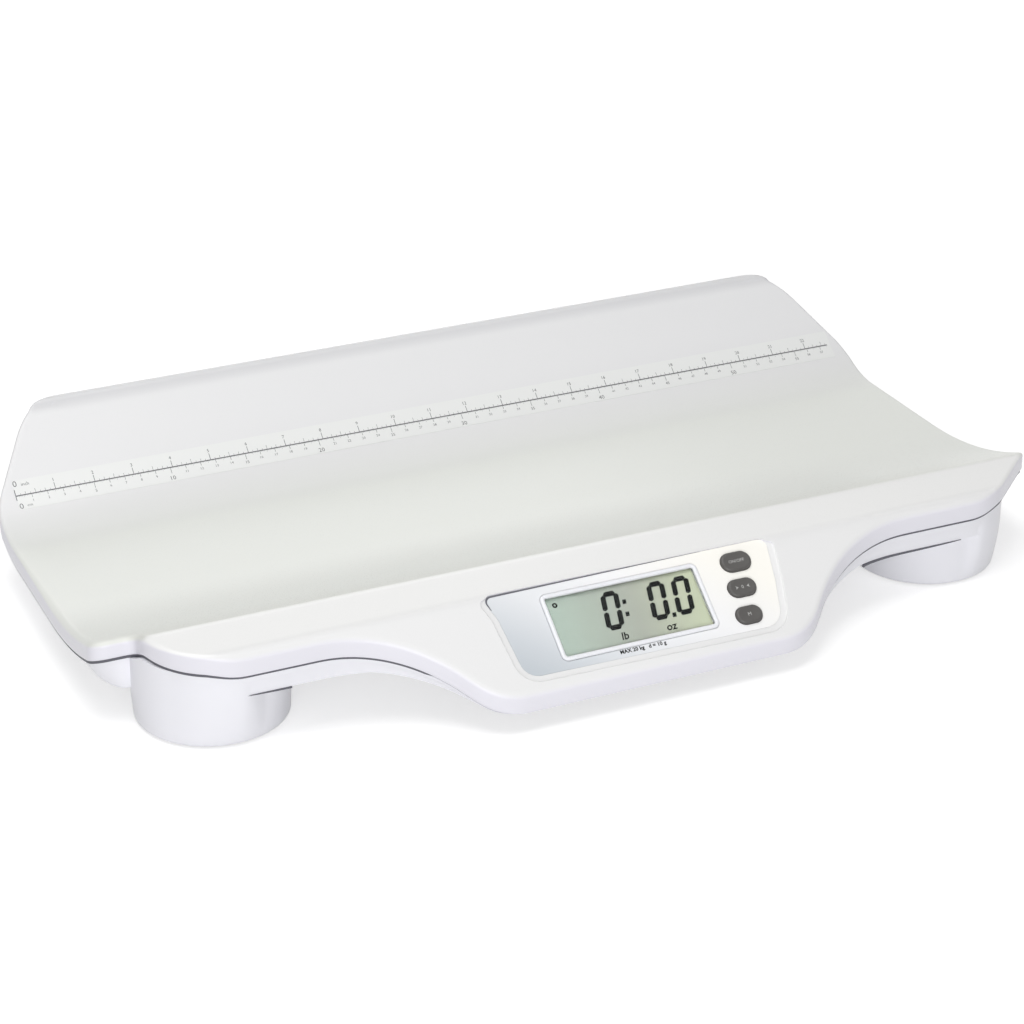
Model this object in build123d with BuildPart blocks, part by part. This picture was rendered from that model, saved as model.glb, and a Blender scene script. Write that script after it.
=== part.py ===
from build123d import *
from math import asin, cos, degrees, pi, radians, sin, sqrt, tan
import os

# Digital baby weighing scale: a scooped weighing tray on a hollow base with four
# round legs. The front swells into a slanted display console with three buttons.
# Millimetres, +Z up, +X along the tray, the console faces -Y. The origin lies on
# the floor, under the middle of the tray.

os.makedirs("parts", exist_ok=True)

# ---- overall -------------------------------------------------------------
length = 611.0            # tray, end to end
depth = 361.0             # console chin to the outside of the back rim
end_x = length / 2
front_y = -depth / 2
back_y = depth / 2

# ---- tray section, front to back -----------------------------------------
lip = 12.0                # height of the skirt round the tray
tray_wall = 3.0
chin_z = 12.0             # lower edge of the skirt at the console
face_angle = 36.5         # slope of the console face
face_run = 51.5
apron_run = 36.0          # nearly level band behind the console face
apron_rise = 1.3
trough_z = 38.8           # lowest part of the scoop
scoop_radius = 246.0
back_radius = 60.0
back_angle = 42.0         # slope of the back rest
rim_width = 9.0
rim_z = 95.3
rim_rise = 3.8
rim_fall = 3.0
rim_peak = 4.5            # peak of the rim, in from the outside

# ---- tray plan -------------------------------------------------------------
end_taper = 3.6           # the ends draw in by this much towards the back
back_corner = (43.5, 54.7)
back_round = 38.0
side_round = 30.0
console_reach = 47.1      # the console stands out by this much
console_margin = 2.8      # printed plate to the console's side, at the top
valley_width = 48.5       # slanted side of the console, in plan
console_radius = 40.0
valley_radius = 105.0
notch_depth = 25.0        # notch in front of the left end, in from the end
notch_front = 54.9        # its edge, behind the front line of the wings
shoulder_in = 50.5        # slanted shoulder at the right end
shoulder_back = 45.4

# ---- base -----------------------------------------------------------------
base_wall = 2.5
seam = 0.4                # gap between tray and base
base_inset = 1.0
pan_floor_z = 21.0
pan_end_gap = 10.5        # pan wall in from the tray end
pan_back_gap = 23.5
pan_front_y = front_y + 105.5
pan_radius = 20.0
pan_corner = (28.3, 43.9) # slanted back corners
pan_corner_radii = (60.0, 18.0)
shelf_z = 33.8            # underside of the shelf that carries the wings
chin_floor_z = 11.2       # underside of the console at its front edge
console_floor_slope = 0.5

# ---- legs and feet ----------------------------------------------------------
leg_inset = 68.8          # leg axis in from the tray end
leg_setback = 99.5        # leg axis in from the front and the back of the tray
leg_radius = 44.9
leg_draft = 0.042         # radius gained for each millimetre of height
leg_lift = 1.0            # the rubber pads stand out below the legs
leg_edge = 3.0
leg_boss_radius = 3.5
bracket_gap = 2.1         # round the load cell bracket, inside the leg
bracket_thick = 3.0
bracket_ring = 2.5
foot_clearance = 6.0      # between the foot and the bosses
foot_gap = 1.5            # running gap of the foot in the leg's floor
foot_thick = 3.0
pad_step = 1.5            # the pad is this much smaller than its foot
pad_thick = 3.0
post_radius = 5.0
cell_size = 34.0
cell_thick = 2.5
cell_z = 12.0
cell_frame = 5.0          # width of the load cell's outer frame
tongue_width = 14.0

# ---- display console --------------------------------------------------------
plate_depth = 1.4         # printed plate, below the console face
plate_thick = 0.6
plate_gap = 0.25
plate_side = (33.6, 49.8) # plate beyond the bezel, left and right
plate_draw = (5.1, 4.7)   # its sides draw in by this much halfway down
plate_foot = (9.0, 11.7)  # and by this much at the foot
bezel_width = 2.8
bezel_window = (95.8, 37.8)
bezel_centre = (-4.3, -26.9)
bezel_top = 0.2
window_lap = 0.9
window_thick = 1.2
lcd_thick = 2.4
console_pad = 2.6
pad_front = 60.0
pad_margin = (3.4, 2.8)   # pad beyond the plate, left and right
board_thick = 1.6
board_edge = 3.5          # board beyond its screws
switch_height = 1.5
plunger_height = 0.3
button_places = ((25.3, -10.3), (22.5, -27.3), (19.9, -45.0))  # out from the bezel
button_sizes = ((19.6, 12.5), (18.3, 11.6), (17.0, 11.4))
button_names = ("power_button", "tare_button", "recall_button")
button_rise = 0.6         # above the console face
button_travel = 0.8
button_gap = 0.3
flange = 1.5
flange_thick = 0.8

# ---- ruler label ------------------------------------------------------------
ruler_left = -288.0
ruler_right = 290.5
ruler_low_y = back_y - 59.0
ruler_high_y = back_y - 43.3
ruler_thick = 0.15
ruler_gap = 0.05

# ---- battery compartment ----------------------------------------------------
cell_aa = (14.5, 50.5)    # diameter, length
row_space = 1.0
contact_space = 3.5
door_thick = 2.0
door_gap = 0.3
box_wall = 1.5
box_edge = 3.0            # compartment beyond the door opening
battery_lift = 0.6

# ---- fasteners and cables -----------------------------------------------------
screw_radius = 1.5
screw_fit = 0.05
head_radius = 2.8
head_height = 1.8
boss_radius = 4.0
cable_radius = 1.1

# ---- values that follow -----------------------------------------------------
break_y = front_y + face_run
break_z = chin_z + lip + face_run * tan(radians(face_angle))
crest_y = break_y + apron_run
crest_z = break_z + apron_rise
scoop_y = crest_y + sqrt(scoop_radius**2 - (scoop_radius - crest_z + trough_z) ** 2)
scoop_angle = degrees(asin((scoop_y - crest_y) / scoop_radius))
bend_rise = back_radius * (1 - cos(radians(back_angle)))
rim_y = back_y - rim_width
slope_y = rim_y - (rim_z - rim_rise - trough_z - bend_rise) / tan(radians(back_angle))
bend_y = slope_y - back_radius * sin(radians(back_angle))
wing_y = front_y + console_reach
bezel_size = (bezel_window[0] + 2 * bezel_width, bezel_window[1] + 2 * bezel_width)
bezel_left = bezel_centre[0] - bezel_size[0] / 2
bezel_right = bezel_centre[0] + bezel_size[0] / 2
plate_left = bezel_left - plate_side[0]
plate_right = bezel_right + plate_side[1]
button_spots = [(bezel_right + out, s) for out, s in button_places]
console_half = plate_right + console_margin
valley_half = console_half + valley_width
notch_y = wing_y + notch_front
leg_x = end_x - leg_inset
leg_y = depth / 2 - leg_setback
bracket_radius = leg_radius - base_wall - bracket_gap
leg_boss_circle = bracket_radius - leg_boss_radius + 0.2
foot_radius = leg_boss_circle - leg_boss_radius - foot_clearance
foot_hole = foot_radius + foot_gap
pad_radius = foot_radius - pad_step
cell_window = cell_size - 2 * cell_frame
leg_spots = {
    "front_left": (-leg_x, -leg_y),
    "front_right": (leg_x, -leg_y),
    "rear_left": (-leg_x, leg_y),
    "rear_right": (leg_x, leg_y),
}
pan_top_z = pan_floor_z + base_wall
pan_x = end_x - pan_end_gap
pan_back_y = back_y - pan_back_gap
face = Plane(
    origin=(0, break_y, break_z),
    x_dir=(1, 0, 0),
    z_dir=(0, -sin(radians(face_angle)), cos(radians(face_angle))),
)
pad_left = plate_left - pad_margin[0]
pad_right = plate_right + pad_margin[1]
frame_depth = plate_depth + plate_thick + console_pad
flange_depth = frame_depth + 0.1
switch_depth = flange_depth + flange_thick + button_travel + 0.1
board_depth = switch_depth + switch_height + plunger_height
screw_left = bezel_left - 7.5
screw_right = button_spots[0][0] + button_sizes[0][0] / 2 + 5.5
screw_low = button_spots[2][0] + button_sizes[2][0] / 2 + 7.2
console_screws = (
    (screw_left, -7.0), (screw_left, -47.0), (screw_right, -8.0), (screw_low, -48.5),
)
shelf_screw_y = front_y + 68.5
shelf_screws = ((-172.0, shelf_screw_y), (172.0, shelf_screw_y))
pan_screws = (
    (-150.0, scoop_y + 16.0), (150.0, scoop_y + 16.0),
    (-150.0, bend_y - 5.0), (150.0, bend_y - 5.0),
)
row_pitch = cell_aa[0] + row_space
column_pitch = cell_aa[1] + contact_space
door_size = (2 * column_pitch + 6.0, 2 * row_pitch + 1.0)
box_front_y = pan_front_y + base_wall + 0.2
battery_y = box_front_y + box_wall + 1.8 + door_size[1] / 2

outline = (
    (-end_x + back_corner[0], back_y),
    (end_x - back_corner[0], back_y),
    (end_x - end_taper, back_y - back_corner[1]),
    (end_x, wing_y + shoulder_back),
    (end_x - shoulder_in, wing_y),
    (valley_half, wing_y),
    (console_half, front_y),
    (-console_half, front_y),
    (-valley_half, wing_y),
    (-end_x + notch_depth, wing_y),
    (-end_x + notch_depth, notch_y),
    (-end_x, notch_y),
    (-end_x + end_taper, back_y - back_corner[1]),
)
outline_radii = (
    back_round, back_round, side_round, 15, 45, valley_radius, console_radius,
    console_radius, valley_radius, 48, 6, 10, side_round,
)


def section_line(drop):
    """Section of the tray top from front to back, lowered by drop."""
    Line((front_y, chin_z + lip - drop), (break_y, break_z - drop))
    Line((break_y, break_z - drop), (crest_y, crest_z - drop))
    scoop_centre = (scoop_y, trough_z + scoop_radius - drop)
    CenterArc(scoop_centre, scoop_radius, 270 - scoop_angle, scoop_angle)
    Line((scoop_y, trough_z - drop), (bend_y, trough_z - drop))
    CenterArc((bend_y, trough_z + back_radius - drop), back_radius, 270, back_angle)
    rim_start = (rim_y, rim_z - rim_rise - drop)
    Line((slope_y, trough_z + bend_rise - drop), rim_start)
    rim_end = (back_y, rim_z - rim_fall - drop)
    ThreePointArc(rim_start, (back_y - rim_peak, rim_z - drop), rim_end)


def under_section(drop):
    """Everything below the tray section lowered by drop, over the whole length."""
    with BuildPart() as block:
        with BuildSketch(Plane.YZ.offset(-end_x - 5)):
            with BuildLine():
                section_line(drop)
                top_back = (back_y, rim_z - rim_fall - drop)
                top_front = (front_y, chin_z + lip - drop)
                Polyline(top_back, (back_y, -40), (front_y, -40), top_front)
            make_face()
        extrude(amount=length + 10)
    return block.part


def plan_prism(inset, low, high):
    """Upright prism over the tray outline, drawn in by inset."""
    with BuildPart() as block:
        with BuildSketch(Plane.XY.offset(low)):
            with BuildLine():
                FilletPolyline(*outline, radius=outline_radii, close=True)
            make_face()
            if inset:
                offset(amount=-inset)
        extrude(amount=high - low)
    return block.part


def plate_line():
    """Printed plate on the console face: wide at the top, rounded at the foot."""
    FilletPolyline(
        (plate_left, 1.0), (plate_right, 1.0),
        (plate_right - plate_draw[1], -27.0), (plate_right - plate_foot[1], -55.2),
        (plate_left + plate_foot[0], -53.4), (plate_left + plate_draw[0], -14.0),
        radius=(4, 5, 20, 13, 10, 20), close=True,
    )


def pan_line():
    """Outline of the main pan of the base, in plan."""
    FilletPolyline(
        (-pan_x, pan_front_y),
        (pan_x, pan_front_y),
        (pan_x, pan_back_y - pan_corner[1]),
        (pan_x - pan_corner[0], pan_back_y),
        (-pan_x + pan_corner[0], pan_back_y),
        (-pan_x, pan_back_y - pan_corner[1]),
        radius=(
            pan_radius, pan_radius, pan_corner_radii[0],
            pan_corner_radii[1], pan_corner_radii[1], pan_corner_radii[0],
        ),
        close=True,
    )


def arc_radii(points, largest):
    """Largest tangent arcs along a route: 0.45 of the shorter run at each corner."""
    radii = []
    for a, b, c in zip(points, points[1:], points[2:]):
        run_in = Vector(*b) - Vector(*a)
        run_out = Vector(*c) - Vector(*b)
        turn = radians(run_in.get_angle(run_out))
        reach = 0.45 * min(run_in.length, run_out.length)
        radii.append(min(reach / tan(turn / 2), largest))
    return radii


def write_piece(piece, label):
    """Label a finished piece and write its STEP file."""
    piece.label = label
    export_step(piece, "parts/" + label + ".step")


# ---- tray shell ---------------------------------------------------------------
tray_under = under_section(tray_wall)
tray_inside = plan_prism(tray_wall, -20, rim_z + 20)
boss_top = under_section(tray_wall / 2)

with BuildPart() as tray_hollow:
    add(tray_under)
    add(tray_inside, mode=Mode.INTERSECT)

# Bosses hang from the tray; each one takes a housing screw from below.
with BuildPart() as tray_bosses:
    with BuildSketch(Plane.XY.offset(pan_top_z)):
        with Locations(*pan_screws):
            Circle(boss_radius)
    extrude(amount=60)
    with BuildSketch(Plane.XY.offset(shelf_z + base_wall)):
        with Locations(*shelf_screws):
            Circle(boss_radius)
    extrude(amount=60)
    add(boss_top, mode=Mode.INTERSECT)

with BuildPart() as tray_shell:
    add(under_section(0))
    add(under_section(lip), mode=Mode.SUBTRACT)
    add(plan_prism(0, -20, rim_z + 20), mode=Mode.INTERSECT)
    add(tray_hollow.part, mode=Mode.SUBTRACT)
    add(tray_bosses.part)
    pad_plane = face.offset(-plate_depth - plate_thick)
    with BuildSketch(pad_plane):
        with Locations(((pad_left + pad_right) / 2, -pad_front / 2 + 0.25)):
            Rectangle(pad_right - pad_left, pad_front + 0.5)
    extrude(amount=-console_pad)
    board_plane = face.offset(-board_depth)
    with BuildSketch(board_plane):
        with Locations(*console_screws):
            Circle(3.0)
    extrude(amount=board_depth - plate_depth - plate_thick - console_pad / 2)
    with BuildSketch(pad_plane):
        with BuildLine():
            plate_line()
        make_face()
        offset(amount=plate_gap)
    extrude(amount=10, mode=Mode.SUBTRACT)
    with BuildSketch(pad_plane):
        with Locations(bezel_centre):
            RectangleRounded(
                bezel_window[0] + 2 * window_lap + 2 * plate_gap,
                bezel_window[1] + 2 * window_lap + 2 * plate_gap,
                3.0,
            )
        for spot, size in zip(button_spots, button_sizes):
            with Locations(spot):
                SlotOverall(size[0] + 2 * button_gap, size[1] + 2 * button_gap)
    extrude(amount=-console_pad - 2, mode=Mode.SUBTRACT)
    with BuildSketch(board_plane):
        with Locations(*console_screws):
            Circle(1.0 + screw_fit)
    extrude(amount=board_depth - plate_depth - plate_thick - 0.8, mode=Mode.SUBTRACT)
    with BuildSketch(Plane.XY.offset(pan_top_z)):
        with Locations(*pan_screws):
            Circle(screw_radius + screw_fit)
    extrude(amount=10, mode=Mode.SUBTRACT)
    with BuildSketch(Plane.XY.offset(shelf_z + base_wall)):
        with Locations(*shelf_screws):
            Circle(screw_radius + screw_fit)
    extrude(amount=12, mode=Mode.SUBTRACT)
write_piece(tray_shell.part, "tray_shell")

# ---- base shell -----------------------------------------------------------------
band_top = under_section(lip + seam)
pan_top = under_section(tray_wall + seam)
shelf_start = front_y + (shelf_z - chin_floor_z) / console_floor_slope
band_back = pan_front_y + base_wall + 2

# The underside of the front: a slope under the console, then a level shelf.
with BuildPart() as front_band:
    with BuildSketch(Plane.YZ.offset(-end_x)):
        with BuildLine():
            Polyline(
                (front_y, chin_floor_z), (shelf_start, shelf_z), (band_back, shelf_z),
                (band_back, rim_z), (front_y, rim_z), close=True,
            )
        make_face()
    extrude(amount=length)
    add(plan_prism(base_inset, -20, rim_z), mode=Mode.INTERSECT)
    add(band_top, mode=Mode.INTERSECT)

with BuildPart() as front_hollow:
    with BuildSketch(Plane.YZ.offset(-end_x)):
        with BuildLine():
            Polyline(
                (front_y, chin_floor_z + base_wall),
                (shelf_start, shelf_z + base_wall),
                (band_back + 1, shelf_z + base_wall),
                (band_back + 1, rim_z), (front_y, rim_z), close=True,
            )
        make_face()
    extrude(amount=length)
    add(plan_prism(base_inset + base_wall, -20, rim_z), mode=Mode.INTERSECT)

with BuildPart() as pan:
    with BuildSketch(Plane.XY.offset(pan_floor_z)):
        with BuildLine():
            pan_line()
        make_face()
    extrude(amount=rim_z)
    add(pan_top, mode=Mode.INTERSECT)

with BuildPart() as pan_hollow:
    with BuildSketch(Plane.XY.offset(pan_top_z)):
        with BuildLine():
            pan_line()
        make_face()
        offset(amount=-base_wall)
    extrude(amount=rim_z)

with BuildPart() as legs_low:
    with BuildSketch(Plane.XY.offset(leg_lift)):
        with Locations(*leg_spots.values()):
            Circle(leg_radius)
    extrude(amount=shelf_z - leg_lift, taper=-degrees(leg_draft))
    fillet(legs_low.edges().group_by(Axis.Z)[0], leg_edge)

with BuildPart() as legs_high:
    with BuildSketch(Plane.XY.offset(shelf_z)):
        with Locations(*list(leg_spots.values())[:2]):
            Circle(leg_radius + leg_draft * (shelf_z - leg_lift))
    extrude(amount=rim_z)
    add(plan_prism(base_inset, -20, rim_z), mode=Mode.INTERSECT)
    add(band_top, mode=Mode.INTERSECT)

# The hollow of a leg leaves a wall's thickness in the base, also beside the notch.
with BuildPart() as outer_wall:
    with BuildSketch(Plane.XY.offset(shelf_z - base_wall)):
        Rectangle(length + 20, depth + 20)
    extrude(amount=rim_z)
    add(plan_prism(base_inset + base_wall, -20, 2 * rim_z), mode=Mode.SUBTRACT)

with BuildPart() as leg_hollow:
    with BuildSketch(Plane.XY.offset(leg_lift + base_wall)):
        with Locations(*leg_spots.values()):
            Circle(leg_radius - base_wall)
    extrude(amount=shelf_z, taper=-degrees(leg_draft))
    add(outer_wall.part, mode=Mode.SUBTRACT)
    with BuildSketch(Plane.XY.offset(leg_lift)):
        with Locations(*leg_spots.values()):
            Circle(foot_hole)
    extrude(amount=base_wall)

cell_top_z = cell_z + cell_thick
bracket_z = cell_top_z + bracket_ring
leg_bosses_at = []
for x, y in leg_spots.values():
    for turn in (30, 150, 270):
        boss_x = x + leg_boss_circle * cos(radians(turn))
        boss_y = y + leg_boss_circle * sin(radians(turn))
        leg_bosses_at.append((boss_x, boss_y))

with BuildPart() as base_shell:
    add(pan.part)
    add(front_band.part)
    add(legs_low.part)
    add(legs_high.part)
    add(pan_hollow.part, mode=Mode.SUBTRACT)
    add(front_hollow.part, mode=Mode.SUBTRACT)
    add(leg_hollow.part, mode=Mode.SUBTRACT)
    # Three bosses in each leg carry the load cell bracket.
    with BuildSketch(Plane.XY.offset(leg_lift + base_wall / 2)):
        with Locations(*leg_bosses_at):
            Circle(leg_boss_radius)
    extrude(amount=bracket_z - leg_lift - base_wall / 2)
    with BuildSketch(Plane.XY.offset(bracket_z)):
        with Locations(*leg_bosses_at):
            Circle(screw_radius + screw_fit)
    extrude(amount=-9, mode=Mode.SUBTRACT)
    # Screw holes with a sunk seat for the head, from below.
    with Locations(*[Location((x, y, pan_floor_z), (180, 0, 0)) for x, y in pan_screws]):
        CounterBoreHole(screw_radius + 0.4, head_radius + 0.3, 0.8, base_wall)
    with Locations(*[Location((x, y, shelf_z), (180, 0, 0)) for x, y in shelf_screws]):
        CounterBoreHole(screw_radius + 0.4, head_radius + 0.3, 0.8, base_wall)
    # Opening of the battery compartment.
    with BuildSketch(Plane.XY.offset(pan_floor_z)):
        with Locations((0, battery_y)):
            Rectangle(*door_size)
    extrude(amount=base_wall, mode=Mode.SUBTRACT)
write_piece(base_shell.part, "base_shell")

# ---- ruler label ------------------------------------------------------------------
# A thin strip that follows the foot of the back rest.
label_angle = degrees(asin((ruler_low_y - bend_y) / back_radius))
slope_u = (cos(radians(back_angle)), sin(radians(back_angle)))
label_run = (ruler_high_y - slope_y) / slope_u[0]


def label_edge(lift):
    """One face of the label: a concave arc, then the straight back slope."""
    centre = (bend_y, trough_z + back_radius)
    CenterArc(centre, back_radius - lift, 270 + label_angle, back_angle - label_angle)
    start_y = slope_y - slope_u[1] * lift
    start_z = trough_z + bend_rise + slope_u[0] * lift
    end = (start_y + label_run * slope_u[0], start_z + label_run * slope_u[1])
    Line((start_y, start_z), end)


with BuildPart() as ruler_label:
    with BuildSketch(Plane.YZ.offset(ruler_left)):
        with BuildLine() as strip:
            label_edge(ruler_gap)
            label_edge(ruler_gap + ruler_thick)
            ends = strip.vertices()
            low = ends.sort_by(Axis.Y)[:2]
            high = ends.sort_by(Axis.Y)[-2:]
            Line(tuple(low[0]), tuple(low[1]))
            Line(tuple(high[0]), tuple(high[1]))
        make_face()
    extrude(amount=ruler_right - ruler_left)
write_piece(ruler_label.part, "ruler_label")

# ---- display console ------------------------------------------------------------
plate_seat = face.offset(-plate_depth - plate_thick)
window_size = (bezel_window[0] + 2 * window_lap, bezel_window[1] + 2 * window_lap)

with BuildPart() as panel_plate:
    with BuildSketch(plate_seat):
        with BuildLine():
            plate_line()
        make_face()
        with Locations(bezel_centre):
            RectangleRounded(
                bezel_size[0] + 2 * plate_gap, bezel_size[1] + 2 * plate_gap, 4.2,
                mode=Mode.SUBTRACT,
            )
        for spot, size in zip(button_spots, button_sizes):
            with Locations(spot):
                slot = (size[0] + 2 * button_gap, size[1] + 2 * button_gap)
                SlotOverall(*slot, mode=Mode.SUBTRACT)
    extrude(amount=plate_thick)
write_piece(panel_plate.part, "panel_plate")

with BuildPart() as lcd_bezel:
    with BuildSketch(plate_seat):
        with Locations(bezel_centre):
            RectangleRounded(*bezel_size, 4.0)
            RectangleRounded(*bezel_window, 2.5, mode=Mode.SUBTRACT)
    extrude(amount=plate_depth + plate_thick - bezel_top)
    bezel_face = lcd_bezel.faces().sort_by(Axis(face.origin, face.z_dir))[-1]
    chamfer(bezel_face.edges(), 0.5)
write_piece(lcd_bezel.part, "lcd_bezel")

window_depth = plate_depth + plate_thick
with BuildPart() as lcd_window:
    with BuildSketch(plate_seat):
        with Locations(bezel_centre):
            RectangleRounded(*window_size, 2.7)
    extrude(amount=-window_thick)
write_piece(lcd_window.part, "lcd_window")

lcd_depth = window_depth + window_thick + 0.1
with BuildPart() as lcd_glass:
    with BuildSketch(face.offset(-lcd_depth)):
        with Locations(bezel_centre):
            Rectangle(window_size[0] - 2, window_size[1] - 0.6)
    extrude(amount=-lcd_thick)
write_piece(lcd_glass.part, "lcd_glass")

reflector_depth = lcd_depth + lcd_thick + 0.1
reflector_thick = board_depth - reflector_depth - 0.4
with BuildPart() as lcd_reflector:
    with BuildSketch(face.offset(-reflector_depth)):
        with Locations(bezel_centre):
            Rectangle(window_size[0] - 2, window_size[1] - 7)
    extrude(amount=-reflector_thick)
write_piece(lcd_reflector.part, "lcd_reflector")

# Conductive rubber strips between the display glass and the board.
strip_y = window_size[1] / 2 - 1.9
with BuildPart() as zebra_strips:
    with BuildSketch(face.offset(-lcd_depth - lcd_thick)):
        with Locations(bezel_centre):
            with Locations((0, strip_y), (0, -strip_y)):
                Rectangle(78, 2.2)
    extrude(amount=-(board_depth - lcd_depth - lcd_thick))
write_piece(zebra_strips.part, "zebra_strips")

with BuildPart() as lcd_frame:
    with BuildSketch(face.offset(-frame_depth)):
        with Locations(bezel_centre):
            Rectangle(window_size[0] + 6, window_size[1] + 5)
            Rectangle(window_size[0] - 1, window_size[1] + 0.4, mode=Mode.SUBTRACT)
    extrude(amount=-(board_depth - frame_depth))
write_piece(lcd_frame.part, "lcd_frame")

with BuildPart() as main_board:
    with BuildSketch(face.offset(-board_depth)):
        with Locations(((screw_left + screw_right + 0.5) / 2, -28.0)):
            board_width = screw_right - screw_left + 2 * board_edge + 0.5
            RectangleRounded(board_width, 50.0, 2.0)
        with Locations(*console_screws):
            Circle(1.0 + 0.3, mode=Mode.SUBTRACT)
    extrude(amount=-board_thick)
write_piece(main_board.part, "main_board")

board_back = face.offset(-board_depth - board_thick)
plug_spots = {
    "front_left": -45.0,
    "rear_left": -25.0,
    "battery": 0.0,
    "rear_right": 25.0,
    "front_right": 45.0,
}
plug_s = -8.0
plug_height = 5.0
with BuildPart() as board_chips:
    with BuildSketch(board_back):
        with Locations((-20.0, -22.0), (12.0, -22.0)):
            Rectangle(12.0, 9.0)
    extrude(amount=-1.5)
    with BuildSketch(board_back):
        with Locations((-40.0, -24.0), (30.0, -26.0), (46.0, -22.0)):
            Rectangle(5.0, 3.0)
    extrude(amount=-1.2)
    with BuildSketch(board_back):
        with Locations(*[(x, plug_s) for x in plug_spots.values()]):
            Rectangle(8.0, 5.0)
    extrude(amount=-plug_height)
write_piece(board_chips.part, "board_chips")

with BuildPart() as buzzer:
    with BuildSketch(board_back):
        with Locations((68.0, -12.0)):
            Circle(6.0)
    extrude(amount=-4.0)
write_piece(buzzer.part, "buzzer")

with BuildPart() as tact_switches:
    with BuildSketch(face.offset(-board_depth)):
        with Locations(*button_spots):
            Rectangle(6.0, 6.0)
    extrude(amount=switch_height)
    with BuildSketch(face.offset(-board_depth + switch_height)):
        with Locations(*button_spots):
            Circle(1.6)
    extrude(amount=plunger_height)
write_piece(tact_switches.part, "tact_switches")

# ---- buttons: obround caps, each on a flange below the console pad -----------------
for label, spot, size in zip(button_names, button_spots, button_sizes):
    with BuildPart() as button:
        with BuildSketch(face.offset(-flange_depth)):
            with Locations(spot):
                SlotOverall(*size)
        extrude(amount=flange_depth + button_rise)
        top = button.faces().sort_by(Axis(face.origin, face.z_dir))[-1]
        fillet(top.edges(), 1.0)
        with BuildSketch(face.offset(-flange_depth)):
            with Locations(spot):
                SlotOverall(size[0] + 2 * flange, size[1] + 2 * flange)
        extrude(amount=-flange_thick)
    write_piece(button.part, label)

# ---- battery compartment -------------------------------------------------------
box_half_x = door_size[0] / 2 + box_edge
box_back_y = battery_y + door_size[1] / 2 + 2.3
cell_z_axis = pan_floor_z + door_thick + battery_lift + cell_aa[0] / 2
box_top_z = cell_z_axis + cell_aa[0] / 2 + 0.6 + box_wall
with BuildPart() as battery_box:
    with BuildSketch(Plane.XY.offset(pan_top_z)):
        with Locations((0, (box_front_y + box_back_y) / 2)):
            Rectangle(2 * box_half_x, box_back_y - box_front_y)
    extrude(amount=box_top_z - pan_top_z)
    with BuildSketch(Plane.XY.offset(pan_top_z)):
        with Locations((0, (box_front_y + box_back_y) / 2)):
            Rectangle(
                2 * (box_half_x - box_wall), box_back_y - box_front_y - 2 * box_wall
            )
    extrude(amount=box_top_z - pan_top_z - box_wall, mode=Mode.SUBTRACT)
write_piece(battery_box.part, "battery_box")

with BuildPart() as batteries:
    for side in (-1, 1):
        for row in (-1, 1):
            y = battery_y + row * row_pitch / 2
            start = side * column_pitch / 2 - cell_aa[1] / 2
            with BuildSketch(Plane.YZ.offset(start)):
                with Locations((y, cell_z_axis)):
                    Circle(cell_aa[0] / 2)
            extrude(amount=cell_aa[1] - 1.2)
            with BuildSketch(Plane.YZ.offset(start + cell_aa[1] - 1.2)):
                with Locations((y, cell_z_axis)):
                    Circle(2.75)
            extrude(amount=1.2)
write_piece(batteries.part, "batteries")

# End plates and springs; the springs are drawn as plain cones.
plate_x = box_half_x - box_wall - 0.05
cell_end = column_pitch / 2 + cell_aa[1] / 2
with BuildPart() as battery_contacts:
    for side in (-1, 1):
        with BuildSketch(Plane.YZ.offset(side * plate_x)):
            for row in (-1, 1):
                with Locations((battery_y + row * row_pitch / 2, cell_z_axis)):
                    RectangleRounded(12.0, 12.0, 1.5)
        extrude(amount=-side * 0.4)
        with BuildSketch(Plane.YZ.offset(side * (plate_x - 0.4))):
            for row in (-1, 1):
                with Locations((battery_y + row * row_pitch / 2, cell_z_axis)):
                    Circle(5.0)
        extrude(amount=-side * (plate_x - 0.4 - cell_end - 0.05), taper=20)
    with BuildSketch(Plane.YZ.offset(-(column_pitch - cell_aa[1]) / 2 + 0.05)):
        for row in (-1, 1):
            with Locations((battery_y + row * row_pitch / 2, cell_z_axis)):
                RectangleRounded(10.0, 10.0, 1.5)
    extrude(amount=column_pitch - cell_aa[1] - 0.1)
write_piece(battery_contacts.part, "battery_contacts")

# Door in the floor: two tabs hook over the front edge, a tongue closes the back.
door_front_y = battery_y - door_size[1] / 2
tab_reach = 1.5
with BuildPart() as battery_door:
    with BuildSketch(Plane.XY.offset(pan_floor_z)):
        with Locations((0, battery_y)):
            Rectangle(door_size[0] - 2 * door_gap, door_size[1] - 2 * door_gap)
    extrude(amount=door_thick)
    with BuildSketch(Plane.XY.offset(pan_floor_z)):
        with Locations((0, battery_y + door_size[1] / 2 - 6.0)):
            Rectangle(16.0, 7.0)
    extrude(amount=door_thick / 2, mode=Mode.SUBTRACT)
    for x in (-32.0, 32.0):
        with BuildSketch(Plane.YZ.offset(x - 5.0)):
            with BuildLine():
                Polyline(
                    (door_front_y + 1.0, pan_floor_z + door_thick - 0.5),
                    (door_front_y + 2.6, pan_floor_z + door_thick - 0.5),
                    (door_front_y + 2.6, pan_top_z + 1.4),
                    (door_front_y - tab_reach, pan_top_z + 1.4),
                    (door_front_y - tab_reach, pan_top_z + 0.2),
                    (door_front_y + 1.0, pan_top_z + 0.2),
                    close=True,
                )
            make_face()
        extrude(amount=10.0)
write_piece(battery_door.part, "battery_door")

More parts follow.
